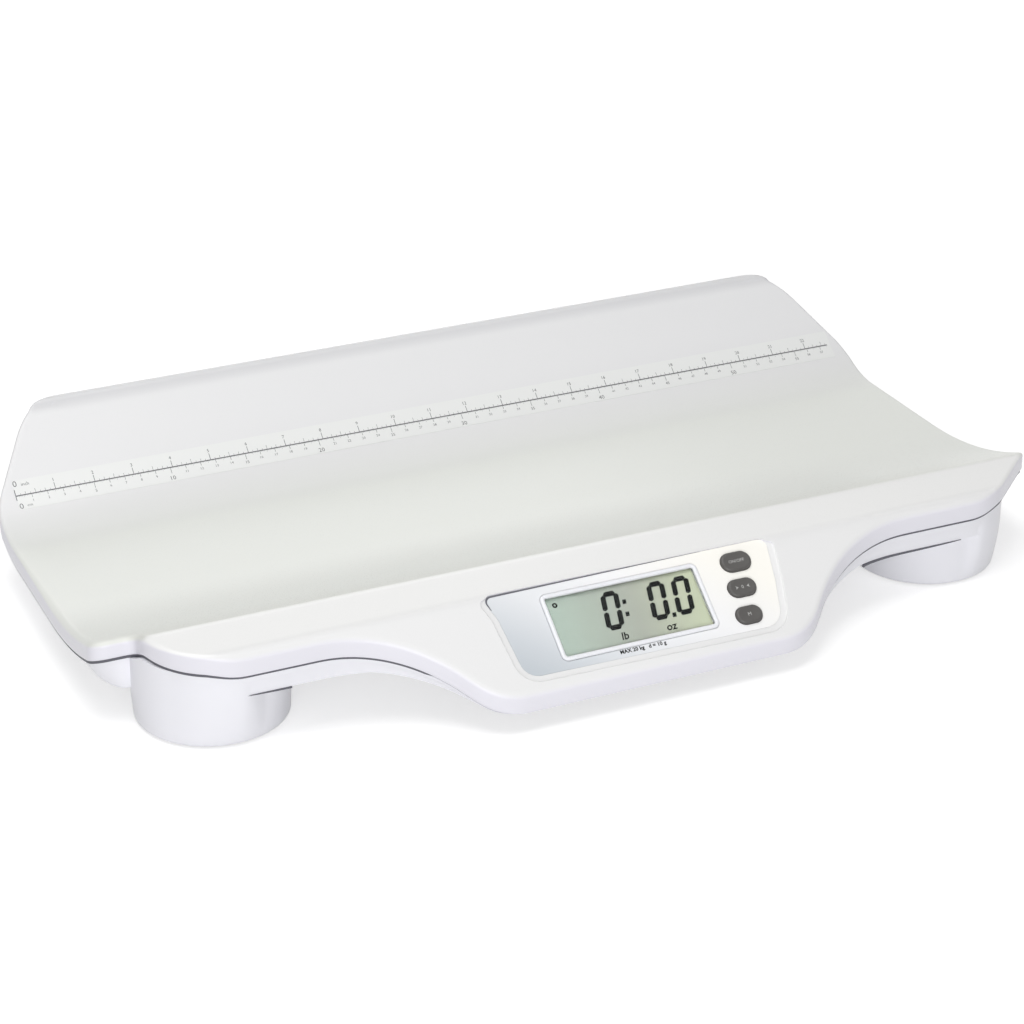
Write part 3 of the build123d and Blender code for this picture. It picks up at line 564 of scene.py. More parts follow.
def trough_tint(tree, place):
    """White with painted light and shade: the apron lighter, the face, the hollow and the back
    rest darker, the hollow greener, a dark band behind the crest and another on the back rim, and
    a cooler, darker white on upright faces.
    """
    # Painted light and shade along y: a lighter apron, a darker face, hollow and back rest, and
    # dark bands behind the crest and on the back rim.
    top = ramp_along(tree, place, (0, 1, 0), (
        (-0.130, (230, 230, 230)),
        (-0.124, (242, 242, 241)),
        (-0.096, (242, 242, 241)),
        (-0.0905, (222, 223, 217)),
        (-0.060, (230, 232, 227)),
        (0.000, (235, 237, 232)),
        (0.080, (235, 237, 232)),
        (0.125, (224, 224, 225)),
        (0.168, (224, 224, 225)),
        (0.172, (208, 208, 210)),
        (0.177, (228, 228, 229)),
    ))
    # Painted shade: faces that stand upright take the cooler, darker white.
    normal = add_node(tree, "TexCoord").outputs["Normal"]
    apart = add_node(tree, "SeparateXYZ", {0: normal})
    upward = add_node(tree, "MapRange", {
        "Value": apart.outputs["Z"], "From Min": UPRIGHT, "From Max": LEVEL,
    })
    both = add_node(tree, "Mix", {
        "Factor": upward.outputs["Result"], "A": srgb(*UPRIGHT_SHADE_WHITE), "B": top,
    }, data_type="RGBA")
    return both.outputs["Result"]


def panel_tint(tree, place):
    """Print of the console plate, from its lower left corner to its upper right one."""
    return ramp_along(tree, place, (1, 1.6, 0), (
        (-0.350, (186, 193, 199)),
        (-0.318, (202, 207, 212)),
        (-0.275, (226, 228, 231)),
        (-0.215, (241, 241, 242)),
        (-0.150, (249, 247, 240)),
    ))


def lcd_tint(tree, place):
    """Pale green of an unlit display, yellower towards the right."""
    return ramp_along(tree, place, (1, 0, 0), (
        (-0.052, (127, 138, 130)),
        (0.000, (124, 126, 118)),
        (0.044, (144, 148, 127)),
    ))


PAINTS = {
    # name: (colour or tint, (least and most roughness), grain, bump, shade)
    "tray_white": (trough_tint, (0.26, 0.30), 1800, 0.006, 0.012),
    "base_white": (srgb(238, 238, 243), (0.28, 0.33), 1800, 0.008, 0.012),
    "label": (srgb(226, 227, 226), (0.34, 0.42), 1500, 0.02, 0.01),
    "panel_silver": (panel_tint, (0.28, 0.36), 2500, 0.03, 0.01),
    "bezel_silver": (srgb(233, 234, 238), (0.24, 0.30), 1800, 0.008, 0.02),
    "lcd_green": (lcd_tint, (0.35, 0.42), 3000, 0.01, 0.01),
    "reflector": (srgb(206, 214, 200), (0.45, 0.55), 1200, 0.05, 0.02),
    "strip_rubber": (srgb(44, 44, 48), (0.60, 0.70), 900, 0.10, 0.10),
    "inner_plastic": (srgb(190, 192, 194), (0.42, 0.52), 500, 0.10, 0.04),
    "board_green": (srgb(28, 92, 52), (0.30, 0.42), 1600, 0.05, 0.15),
    "chip_black": (srgb(36, 36, 38), (0.45, 0.55), 1400, 0.08, 0.10),
    "button_grey": (srgb(78, 76, 74), (0.40, 0.48), 2200, 0.02, 0.05),
    "battery": (srgb(58, 76, 110), (0.25, 0.33), 600, 0.02, 0.05),
    "plated_steel": (srgb(196, 196, 194), (0.22, 0.34), 1800, 0.04, 0.06),
    "cell_steel": (srgb(168, 170, 172), (0.34, 0.46), 1100, 0.08, 0.08),
    "foot_plastic": (srgb(120, 122, 124), (0.40, 0.50), 700, 0.08, 0.05),
    "foot_rubber": (srgb(62, 62, 64), (0.62, 0.74), 900, 0.18, 0.12),
    "cable_grey": (srgb(150, 152, 155), (0.40, 0.50), 1200, 0.06, 0.05),
    "print_grey": (srgb(96, 97, 99), (0.45, 0.55), 1500, 0.01, 0.08),
    "print_black": (srgb(12, 13, 13), (0.45, 0.55), 1500, 0.01, 0.10),
    # This dark grey is painted shade and shadow: the seam strip, the ledge strips and the line
    # along the plate's top edge.
    "painted_shade_grey": (srgb(92, 92, 100), (0.55, 0.65), 900, 0.05, 0.06),
    "legend_grey": (srgb(178, 178, 176), (0.45, 0.55), 1500, 0.01, 0.04),
}
SHINE = {
    "tray_white": ("Specular IOR Level", 0.25), "base_white": ("Specular IOR Level", 0.25),
    "print_black": ("Specular IOR Level", 0.1),
    "plated_steel": ("Metallic", 1.0), "cell_steel": ("Metallic", 1.0),
}
FINISHES = {name: moulded(name, *values) for name, values in PAINTS.items()}
for name, (key, value) in SHINE.items():
    tree = FINISHES[name].node_tree
    feed(tree, tree.nodes["Principled BSDF"], {key: value})


def clear_window():
    """Clear acrylic. Lamps reach what is behind it, as through the real thin window."""
    material, tree, shader, place = bare_material("window_clear")
    haze = add_node(tree, "TexNoise", {"Vector": place, "Scale": 60.0})
    polish = add_node(tree, "MapRange", {
        "Value": haze.outputs["Fac"], "To Min": 0.01, "To Max": 0.05,
    })
    feed(tree, shader, {
        "Transmission Weight": 1.0, "IOR": 1.12, "Base Color": (0.97, 0.99, 0.98, 1.0),
        "Roughness": polish.outputs["Result"],
    })
    rays = add_node(tree, "LightPath").outputs
    clear = add_node(tree, "BsdfTransparent")
    either = add_node(tree, "MixShader", {
        "Fac": rays["Is Shadow Ray"], 1: shader.outputs[0], 2: clear.outputs[0],
    })
    feed(tree, tree.nodes["Material Output"], {"Surface": either.outputs[0]})
    return material


FINISHES["window_clear"] = clear_window()

# The frame's own pieces take their finish by the slot that their material names.
for node in nodes.values():
    for place in node.material_slots:
        place.material = FINISHES[place.material.name.split(".")[0]]
print("finishes:", len(FINISHES))

# %% [markdown]
# ## The tray
# The tray is one moulding: a thin shell with a skirt 12 mm high all round. Its top is
# the section line, cut off by the outline. It could be a sheet with Solidify, but the
# top edge has a rounding of its own, so the profile is carried round the outline as a
# closed row of rings: from the middle of the top outwards, over the rounded edge,
# down the skirt, and back along the underside to the middle.

# %% Tray rings
EDGE_RADIUS = 2.6
NOTCH_EDGE_RADIUS = 5.0          # the edge is rounder beside the notch
NOTCH_FADE_X, NOTCH_FADE_Y = 8.0, 60.0
TOP_MARGIN = 8.0                 # width of the rings that follow the outline
FOOT_RADIUS = 0.8
TRAY_MIDDLE = np.array((0.0, 0.0))


def arc_profile(radius, count, start, stop):
    """Inset and drop along a quarter round of this radius, between two angles."""
    angle = np.linspace(math.radians(start), math.radians(stop), count)
    return radius * (1 - np.sin(angle)), radius * (1 - np.cos(angle))


def rings_inside(outline, inset, scale, drop, height):
    """Rings that follow an outline: inset along its normals, then shrunk to the middle.

    The point is middle + scale * (outline - inset * normal - middle), and its z is the
    section's height at its own y, less drop. inset, scale and drop give one value a ring,
    or one for each point of each ring.
    """
    normal = outward_normals(outline)
    inset, scale, drop = (
        np.asarray(part, float).reshape(len(part), -1) for part in (inset, scale, drop)
    )
    flat = outline[None] - inset[..., None] * normal[None]
    flat = TRAY_MIDDLE + scale[..., None] * (flat - TRAY_MIDDLE)
    z = height(flat[..., 1]) - drop
    return np.concatenate((flat, z[..., None]), axis=-1)


beside_notch = np.clip((NOTCH_X + NOTCH_FADE_X - tray_outline[:, 0]) / NOTCH_FADE_X, 0, 1)
beside_notch *= np.clip((NOTCH_FADE_Y - tray_outline[:, 1]) / NOTCH_FADE_Y, 0, 1)
edge_radius = EDGE_RADIUS + (NOTCH_EDGE_RADIUS - EDGE_RADIUS) * beside_notch

top_scale = np.linspace(0.02, 1.0, 54)[:-1]
edge_share = np.linspace(1.0, 0.0, 6)[:-1, None]
round_inset, round_drop = arc_profile(1.0, 9, 0, 90)
foot_inset, foot_drop = arc_profile(FOOT_RADIUS, 4, 90, 0)
skirt_share = np.linspace(0.0, 1.0, 5)[1:-1, None]
under_scale = np.linspace(0.98, 0.02, 20)


def all_round(values):
    """One value a ring, repeated for every point of the outline."""
    return np.repeat(np.asarray(values, float)[:, None], len(tray_outline), axis=1)


tray_inset = np.concatenate((
    all_round(np.full(len(top_scale), TOP_MARGIN)),
    edge_radius + edge_share * (TOP_MARGIN - edge_radius),
    round_inset[:, None] * edge_radius, all_round(np.zeros(3)), all_round(foot_inset),
    all_round(np.full(3 + len(under_scale), TRAY_WALL)),
))
rim_rings = len(edge_share) + len(round_inset) + len(skirt_share) + len(foot_inset) + 3
tray_scale = np.concatenate((top_scale, np.ones(rim_rings), under_scale))
tray_drop = np.concatenate((
    all_round(np.zeros(len(top_scale) + 5)), round_drop[:, None] * edge_radius,
    edge_radius + skirt_share * (LIP - FOOT_RADIUS - edge_radius), all_round(LIP - foot_drop),
    all_round((LIP, LIP * 0.6)), all_round(np.full(1 + len(under_scale), TRAY_WALL)),
))
tray_rings = rings_inside(tray_outline, tray_inset, tray_scale, tray_drop, tray_height)
tray_skin = add_piece(
    "tray_skin", *closed_rings(tray_rings), "housing", FINISHES["tray_white"],
    ["tray_shell"],
)
print("tray faces:", len(tray_skin.data.polygons))

# %% [markdown]
# ## The base
# The base is a hollow body under the tray. Its front band follows the tray's edge, the
# pan behind it has rounded flanks like a bowl, and four round legs stand below. The
# front two grow into the band on their outer sides. Cylinders and boxes with bevels
# would leave creases there, so each part is a closed shell of rings. The shells are
# joined, and the same shells, one wall smaller, hollow the result out.

# %% Base sizes
SEAM = 1.9                       # open line between the tray's skirt and the band
BASE_WALL = 2.5
SHELF_Z = 33.8
PAN_Z = 21.0
PAN_SIDE_RISE = 1.0              # the flanks of the pan end this much above its floor
BAND_Y = WING_Y + 1.0
PAN_FRONT_Y = NOTCH_Y + 1.0
PAN_X, PAN_BACK_Y = END_X - 10.5, BACK_Y - 23.5
LEG_X, LEG_Y = END_X - 68.8, BACK_Y - 99.5
LEG_RADIUS, LEG_DRAFT, LEG_EDGE, LEG_Z = 44.9, 0.042, 1.4, 1.0
LEG_FLARE, LEG_REACH = 1.6, 60.0      # least and most growth of a leg's top
FOOT_HOLE = 29.0
BAND_LEFT, BAND_RIGHT, BAND_BACK_Y = -279.5, 281.5, -66.0
PAN_NOSE_X = -304.0                   # the pan swells here under the notch
PAN_CORNER_X, PAN_CORNER_Y = 28.3, 43.9
FLANK_TOP = 0.76                      # share of the height at which a flank begins

band_outline = rounded_outline(
    (
        (BAND_LEFT, BAND_BACK_Y), (BAND_RIGHT, BAND_BACK_Y), (BAND_RIGHT, BAND_Y),
        (VALLEY_HALF - 1, BAND_Y), (CONSOLE_HALF - 1, FRONT_Y + 1),
        (1 - CONSOLE_HALF, FRONT_Y + 1), (1 - VALLEY_HALF, BAND_Y), (BAND_LEFT, BAND_Y),
    ),
    (2, 2, 45.5, 105, 39, 39, 105, 47), 2.4,
)
pan_outline = rounded_outline(
    (
        (PAN_CORNER_X - PAN_X, PAN_BACK_Y), (PAN_X - PAN_CORNER_X, PAN_BACK_Y),
        (PAN_X, PAN_BACK_Y - PAN_CORNER_Y), (PAN_X - 6.0, PAN_FRONT_Y),
        (PAN_NOSE_X, PAN_FRONT_Y), (PAN_NOSE_X, -20.0), (-PAN_X, 30.0),
        (-PAN_X, PAN_BACK_Y - PAN_CORNER_Y),
    ),
    (26, 26, 60, 30, 18, 60, 60, 60), 2.4,
)


def band_top(place):
    """Top of the band: an open seam below the skirt, and never below its underside."""
    return np.maximum(tray_height(place[..., 1]) - LIP - SEAM, band_floor(place) + 0.4)


def band_floor(place):
    """Underside of the front: it climbs 1 in 2 under the console, up to the shelf."""
    return np.minimum(CHIN_Z - 0.8 + 0.5 * (place[..., 1] - FRONT_Y), SHELF_Z)


def pan_top(place):
    """The pan reaches up inside the skirt, to just below the tray's own wall."""
    return tray_height(place[..., 1]) - TRAY_WALL - 0.4


def pan_floor(place):
    """Level floor, which rises towards both ends by a smooth step s * s * (3 - 2 s)."""
    step = np.clip((np.abs(place[..., 0]) - 262.0) / 22.0, 0, 1)
    return PAN_Z + PAN_SIDE_RISE * step**2 * (3 - 2 * step)


print("band points:", len(band_outline), "pan points:", len(pan_outline))

# %% Base shells


def body_shell(outline, low, high, width, power, wall=0.0, over=0.0):
    """Closed rings of a body between its underside low and its top high.

    Ring t of the flank is inset by width * t, and stands at the share
    FLANK_TOP * (1 - t) ** power of the height. wall makes the same shape smaller all
    round, and over lifts its top, as the hollow of a body needs.
    """
    normal = outward_normals(outline)
    middle = outline.mean(axis=0)
    flank = np.linspace(0, 1, 13) ** 1.3
    across = np.linspace(1.0, 0.03, 22)
    inset = np.concatenate((np.zeros(24), flank, np.ones(21)))
    scale = np.concatenate((across[::-1], np.ones(15), across[1:]))
    lift = np.concatenate((
        np.ones(23), [FLANK_TOP], FLANK_TOP * (1 - flank) ** power, np.zeros(21),
    ))
    inset = inset[:, None] * np.broadcast_to(width, len(outline)) + wall
    flat = outline[None] - inset[..., None] * normal[None]
    flat = middle + scale[:, None, None] * (flat - middle)
    bottom, top = low(flat) + wall, high(flat) + over
    z = bottom + lift[:, None] * (top - bottom)
    return closed_rings(np.concatenate((flat, z[..., None]), axis=-1))


def reach_to(outline, centre, ways):
    """Distance from a centre to an outline along each way: the nearest crossing.

    The ray meets a run from p by v at the distance cross(p, v) / cross(way, v).
    """
    start = (outline - centre)[None]
    run = (np.roll(outline, -1, 0) - outline)[None]
    ways = ways[:, None]
    across = ways[..., 0] * run[..., 1] - ways[..., 1] * run[..., 0]
    across = np.where(np.abs(across) < 1e-9, 1e-9, across)
    far = (start[..., 0] * run[..., 1] - start[..., 1] * run[..., 0]) / across
    share = (start[..., 0] * ways[..., 1] - start[..., 1] * ways[..., 0]) / across
    met = (share >= 0) & (share < 1) & (far > 0)
    return np.where(met, far, 999.0).min(axis=1)


def leg_shell(centre, flush, wall=0.0):
    """Closed rings of one leg, from the middle of its top to the middle of its foot.

    The radius at the height z is that of a cone. Where flush is 1 it grows to the band's
    outline instead, by the share 1 - (1 - s) ** 1.5 of the way, s being 0 at the foot
    and 1 at the shelf. flush is a function of the turn, or None for a plain cone.
    """
    turn = np.linspace(2 * math.pi, 0, 145)[:-1]
    ways = np.column_stack((np.cos(turn), np.sin(turn)))
    weight = flush(turn) if flush else np.zeros(len(turn))
    reach = np.clip(reach_to(band_outline, centre, ways), LEG_RADIUS + LEG_FLARE, LEG_REACH)
    rim_radius = LEG_RADIUS + LEG_FLARE + weight * (reach - LEG_RADIUS - LEG_FLARE)
    rim = centre + rim_radius[:, None] * ways
    top = band_top(rim) + 0.01 if flush else np.full(len(turn), SHELF_Z + 2.0)
    foot_z = LEG_Z + wall
    edge_z = foot_z + max(LEG_EDGE - wall, 0.4)
    rings = []

    def ring(z, inset=0.0, scale=1.0):
        cone = LEG_RADIUS + LEG_DRAFT * (z - LEG_Z)
        s = np.clip((z - LEG_Z) / (SHELF_Z - LEG_Z), 0, 1)
        radius = cone + weight * (reach - cone) * (1 - (1 - s) ** 1.5) - wall - inset
        flat = centre + scale * radius[:, None] * ways
        rings.append(np.column_stack((flat, z)))

    top = top + (30.0 if wall else 0.0)
    for scale in (0.05, 0.5, 0.97):
        ring(top, scale=scale)
    low = np.ones(len(turn))
    for share in np.linspace(1, 0, 18):
        ring(edge_z + share * (top - edge_z))
    for angle in np.radians((30, 60, 90)):
        size = edge_z - foot_z
        ring(low * (edge_z - size * math.sin(angle)), inset=size * (1 - math.cos(angle)))
    for scale in (0.7, 0.35, 0.05):
        ring(low * foot_z, inset=edge_z - foot_z, scale=scale)
    return closed_rings(np.array(rings))


def flush_around(middle, half, fade):
    """Share that is 1 within half of a turn, and falls smoothly to 0 over fade, in degrees."""
    def share(turn):
        away = np.abs((np.degrees(turn) - middle + 180) % 360 - 180)
        step = np.clip((half + fade - away) / fade, 0, 1)
        return step**2 * (3 - 2 * step)
    return share


LEGS = (
    (np.array((-LEG_X, -LEG_Y)), flush_around(-146.0, 56.0, 24.0)),
    (np.array((LEG_X, -LEG_Y)), flush_around(-20.0, 56.0, 12.0)),
    (np.array((-LEG_X, LEG_Y)), None),
    (np.array((LEG_X, LEG_Y)), None),
)

# %% [markdown]
# The shells are joined one after another, first the outside, then the hollow. The hollow
# is taken away, and the holes follow: round holes for the feet, the battery opening and
# the sunk seats of the screws.

# %% Base
BAND_EDGE = 1.2
LEFT_FLANK, RIGHT_FLANK, BACK_FLANK, FRONT_FLANK = 13.0, 21.0, 12.0, 3.0
HOLLOW_OVER = 12.0
FOOT_BOSS, FOOT_BOSS_OUT, FOOT_BOSS_TOP = 3.5, 37.0, 17.0
DOOR_HALF, DOOR_FRONT_Y, DOOR_BACK_Y = 57.0, -69.0, -37.0
SHELF_SCREW_X, SHELF_SCREW_Y = 172.0, FRONT_Y + 68.5
PAN_SCREW_X, PAN_SCREW_YS = 150.0, (30.2, 84.9)
SCREW_SEAT = ((3.1, 0.8), (1.9, 5.0))     # radius and depth, of the head and the shank

pan_normal = outward_normals(pan_outline)
side_flank = np.where(pan_normal[:, 0] < 0, LEFT_FLANK, RIGHT_FLANK)
pan_flank = side_flank * np.abs(pan_normal[:, 0])
pan_flank = pan_flank + BACK_FLANK * np.maximum(pan_normal[:, 1], 0)
pan_flank += FRONT_FLANK * np.maximum(-pan_normal[:, 1], 0)


def base_body(name, wall, over):
    """Band, pan and legs joined: the outside, or with a wall the hollow."""
    band = body_shell(band_outline, band_floor, band_top, BAND_EDGE, 0.5, wall, over)
    body = add_piece(name, *band, None, FINISHES["base_white"])
    pan = body_shell(pan_outline, pan_floor, pan_top, pan_flank, 2.6, wall, over)
    carve_with(body, pan, "UNION")
    for centre, flush in LEGS:
        carve_with(body, leg_shell(centre, flush, wall), "UNION")
    return body


def round_bar(centre, radius, low, high):
    """Closed upright round bar, as rings from its top to its foot."""
    turn = np.linspace(2 * math.pi, 0, 49)[:-1]
    ways = np.column_stack((np.cos(turn), np.sin(turn), np.zeros(48)))
    rings = [
        np.array((*centre, z)) + radius * scale * ways
        for scale, z in ((0.1, high), (1.0, high), (1.0, low), (0.1, low))
    ]
    return closed_rings(np.array(rings))


base_skin = base_body("base_skin", 0.0, 0.0)
carve(base_skin, base_body("hollow", BASE_WALL, HOLLOW_OVER))
for centre, flush in LEGS:
    carve_with(base_skin, round_bar(centre, FOOT_HOLE, LEG_Z - 3, LEG_Z + 6))
    for turn in np.radians((30, 150, 270)):
        spot = centre + FOOT_BOSS_OUT * np.array((math.cos(turn), math.sin(turn)))
        carve_with(base_skin, round_bar(spot, FOOT_BOSS, LEG_Z + 1.2, FOOT_BOSS_TOP), "UNION")

door_hole = rounded_outline(
    (
        (-DOOR_HALF, DOOR_BACK_Y), (DOOR_HALF, DOOR_BACK_Y),
        (DOOR_HALF, DOOR_FRONT_Y), (-DOOR_HALF, DOOR_FRONT_Y),
    ),
    [0.5] * 4, 2.0,
)
door_rings = np.array([
    np.column_stack((door_hole, np.full(len(door_hole), z))) for z in (PAN_Z + 6, PAN_Z - 3)
])
carve_with(base_skin, closed_rings(door_rings))
screw_seats = [((side * SHELF_SCREW_X, SHELF_SCREW_Y), SHELF_Z) for side in (-1, 1)]
screw_seats += [((side * PAN_SCREW_X, y), PAN_Z) for side in (-1, 1) for y in PAN_SCREW_YS]
for spot, floor_z in screw_seats:
    for radius, depth in SCREW_SEAT:
        carve_with(base_skin, round_bar(spot, radius, floor_z - 2, floor_z + depth))
crisp_edges(base_skin, 30)
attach(base_skin, "housing")
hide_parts("base_shell")
print("base faces:", len(base_skin.data.polygons))

# %% [markdown]
# Tray and base don't touch. The open seam between them lies in shade and shows as an
# even dark line. A dark strip, set back a little below the skirt, paints that shade: a
# flat profile of four corners, carried round the tray's outline. Two short strips of the
# same dark grey, under the ledges where the band stands out over a front leg, paint the
# shadow that the ledges cast.

# %% Seam strip
STRIP_INSET = (0.9, 2.7)
STRIP_DROP = (LIP - 0.1, LIP + SEAM - 0.1)
STRIP_BACK = 9.0                 # how far it steps back under the console
LEDGE_INSET = (0.5, 1.6)


# The seam strip is painted shade: a dark sheet in the open seam, where there is only shade.
def seam_strip():
    """Four rings round the outline: outside above and below, inside below and above.

    Under the console the strip steps back by up to STRIP_BACK, where no seam shows.
    """
    inset = np.array((STRIP_INSET[0], STRIP_INSET[0], STRIP_INSET[1], STRIP_INSET[1]))
    back = STRIP_BACK * np.clip((FRONT_Y + 30.0 - tray_outline[:, 1]) / 20.0, 0, 1)
    inset = inset[:, None] + back
    drop = np.array((STRIP_DROP[0], STRIP_DROP[1], STRIP_DROP[1], STRIP_DROP[0]))
    rings = rings_inside(tray_outline, inset, np.ones(4), drop, tray_height)
    count, around = rings.shape[:2]
    index = np.arange(count * around).reshape(count, around)
    below = np.roll(index, -1, axis=0)
    quads = np.stack((index, np.roll(index, -1, 1), np.roll(below, -1, 1), below), axis=-1)
    return rings.reshape(-1, 3), quads.reshape(-1, 4).tolist()


# The ledge strips are painted shadow: dark tubes where the band's ledge shades the leg below it.
def ledge_strip(first_x, last_x, tall):
    """Thin tube of four corners under the band's edge, from first_x to last_x.

    Its height is tall * (1 - 0.6 u) * (1 - u ** 8), where u runs from 0 at first_x to 1
    at last_x.
    """
    normal = outward_normals(band_outline)
    inside = (band_outline[:, 0] > min(first_x, last_x)) & (band_outline[:, 1] < BAND_Y + 12.0)
    inside &= band_outline[:, 0] < max(first_x, last_x)
    line, normal = band_outline[inside], normal[inside]
    u = (line[:, 0] - first_x) / (last_x - first_x)
    high = band_floor(line) + 0.05
    low = high - tall * (1 - 0.6 * u) * (1 - u**8)
    near, far = LEDGE_INSET
    rings = [
        np.column_stack((line - inset * normal, z))
        for inset, z in ((near, low), (near, high), (far, high), (far, low))
    ]
    return closed_rings(np.stack(rings, axis=1))


# Painted shadow under the ledges of the band over the two front legs.
LEDGES = {
    # name: (first x, last x, height at the first x)
    "ledge_shadow_left": (-205.0, -233.0, 1.1), "ledge_shadow_right": (159.0, 234.0, 1.6),
}
for ledge_name, ledge_values in LEDGES.items():
    strip = add_piece(
        ledge_name, *ledge_strip(*ledge_values), "housing", FINISHES["painted_shade_grey"]
    )
    crisp_edges(strip, 40)

seam_shadow_piece = add_piece("seam_strip", *seam_strip(), "housing", FINISHES["painted_shade_grey"])
crisp_edges(seam_shadow_piece, 40)

# %% [markdown]
# ## The console recess
# The face of the console is flat, and the printed plate sits in it a little below the
# surface, inside a shallow slope that a hand feels as a soft frame. The recess is cut
# by a closed shell that is wider at the top than at the plate. It is easier to draw on
# the face's own plane, so a small function turns face coordinates into the frame's:
# x along the scale, s up the slope, and d down into the face.

# %% Console cutters
FACE_ORIGIN = np.array((0.0, BREAK_Y, BREAK_Z))
FACE_UP = np.array((0.0, math.cos(FACE_ANGLE), math.sin(FACE_ANGLE)))
FACE_OUT = np.array((0.0, -math.sin(FACE_ANGLE), math.cos(FACE_ANGLE)))
PLATE_DEPTH = 1.4
SEAT_DEPTH = 2.0
SLOPE_WIDTH = 4.3
PLATE_GAP = 0.12
plate_corners = (
    (-88.6, 1.0), (96.2, 1.0), (91.5, -27.0), (84.5, -55.2), (-79.6, -53.4), (-83.5, -14.0),
)
plate_radii = (4, 5, 20, 13, 10, 20)


def on_face(x, s, d):
    """Points of the frame for x along, s up and d below the console face."""
    x, s, d = np.broadcast_arrays(*(np.asarray(part, float) for part in (x, s, d)))
    along = x[..., None] * np.array((1.0, 0.0, 0.0))
    return FACE_ORIGIN + along + s[..., None] * FACE_UP - d[..., None] * FACE_OUT


def face_shell(outline, depths):
    """Closed shell on the console face, with the same outline at each depth."""
    depth = np.asarray(depths, float)[:, None]
    return closed_rings(on_face(outline[None, :, 0], outline[None, :, 1], depth))


def recess_cutter():
    """The plate's recess: upright at the top edge, with a soft step along the others."""
    plate = rounded_outline(plate_corners, plate_radii, 2.0)
    normal = outward_normals(plate)
    wide = SLOPE_WIDTH * np.clip(-normal[:, 1:] * 1.6 + np.abs(normal[:, :1]), 0, 1)
    gap = PLATE_GAP + 0.5 * np.clip(normal[:, 1:], 0, 1) * np.clip((20 - plate[:, :1]) / 60, 0, 1)
    seat = plate + gap * normal
    rings = []
    steps = (
        (1.04, -9.0), (1.04, -0.05), (0.98, 0.12), (0.86, 0.8), (0.78, 0.95),
        (0.3, 1.2), (0.0, PLATE_DEPTH), (0.0, SEAT_DEPTH),
    )
    for share, depth in steps:
        ring = seat + wide * share * normal
        rings.append(on_face(ring[:, 0], ring[:, 1], depth))
    return closed_rings(np.array(rings))


carve_with(tray_skin, recess_cutter())

BEZEL_CENTRE = np.array((-4.3, -26.9))
WINDOW = np.array((95.8, 37.8))
BEZEL_WIDTH = 2.8
BUTTONS = {
    "power_button": ((71.7, -10.3), (19.6, 12.5)),
    "tare_button": ((68.9, -27.3), (18.3, 11.6)),
    "recall_button": ((66.3, -45.0), (17.0, 11.4)),
}


def face_rectangle(centre, size, radius, spacing):
    """Clockwise rounded rectangle on the face plane."""
    half = np.asarray(size) / 2
    signs = np.array(((-1, 1), (1, 1), (1, -1), (-1, -1)))
    return rounded_outline(np.asarray(centre) + signs * half, [radius] * 4, spacing)


opening_outlines = [face_rectangle(BEZEL_CENTRE, WINDOW + 2.2, 3.0, 2.0)]
for centre, size in BUTTONS.values():
    hole = np.array(size) + 0.6
    opening_outlines.append(face_rectangle(centre, hole, hole[1] / 2 - 0.01, 0.8))
for opening in opening_outlines:
    carve_with(tray_skin, face_shell(opening, (0.5, 14.0)))
crisp_edges(tray_skin, 28)
print("tray faces after the cuts:", len(tray_skin.data.polygons))

# %% [markdown]
# ## The rim round the display
# A raised, rounded frame holds the display window. A box with bevels would do, but the
# real frame has a full round section, so a half round profile is carried along the
# rounded rectangle between the window and the plate.

# %% Display rim
RIM_TOP = 0.2


def display_rim():
    """Half ellipse carried along a rounded rectangle, with a flat foot on its seat.

    At angle a the profile point is inset by w * (1 - cos a) / 2 from the outside, and
    lies at the depth foot - (foot - top) * sin(a) ** 0.5.
    """
    outer = face_rectangle(BEZEL_CENTRE, WINDOW + 2 * BEZEL_WIDTH, 4.0, 1.2)
    normal = outward_normals(outer)
    angle = np.linspace(0, math.pi, 15)
    inset = BEZEL_WIDTH * (1 - np.cos(angle)) / 2
    depth = SEAT_DEPTH - (SEAT_DEPTH - RIM_TOP) * np.sin(angle) ** 0.5
    flat = outer[None] - inset[:, None, None] * normal[None]
    rings = on_face(flat[..., 0], flat[..., 1], depth[:, None])
    count, around = rings.shape[:2]
    index = np.arange(count * around).reshape(count, around)
    below = np.roll(index, -1, axis=0)
    quads = np.stack(
        (index, below, np.roll(below, -1, axis=1), np.roll(index, -1, axis=1)), axis=-1
    )
    return rings.reshape(-1, 3), quads.reshape(-1, 4)[:, ::-1].tolist()


rim_piece = add_piece(
    "display_rim", *display_rim(), "housing", FINISHES["bezel_silver"], ["lcd_bezel"]
)

# %% [markdown]
# ## Flat prints
# Ticks, digits and legends are thin layers of ink. Each is a closed flat shape with a
# thickness of a few hundredths of a millimetre, drawn in its own plane and then laid
# onto the surface that carries it by a placing function.

# %% Print tools
INK = 0.04
INK_LIFT = 0.6                   # middle of a print above its surface, in layers of ink


def bars(centres, widths, heights, slants=0.0):
    """Points and faces of upright bars: eight corners and six faces for each bar."""
    centres = np.atleast_2d(np.asarray(centres, float))
    count = len(centres)
    half = np.column_stack((np.broadcast_to(widths, count), np.broadcast_to(heights, count))) / 2
    signs = np.array(((-1, -1), (1, -1), (1, 1), (-1, 1)), float)
    corners = centres[:, None] + signs[None] * half[:, None]
    corners[..., 0] += slants * signs[None, :, 1] * half[:, None, 1]
    points = np.concatenate([
        np.concatenate((corners, np.full(corners.shape[:2] + (1,), level)), axis=-1)
        for level in (-0.5, 0.5)
    ], axis=1).reshape(-1, 3)
    block = np.array((
        (0, 3, 2, 1), (4, 5, 6, 7), (0, 1, 5, 4), (1, 2, 6, 5), (2, 3, 7, 6), (3, 0, 4, 7),
    ))
    faces = (np.arange(count)[:, None, None] * 8 + block[None]).reshape(-1, 4)
    return points, faces.tolist()


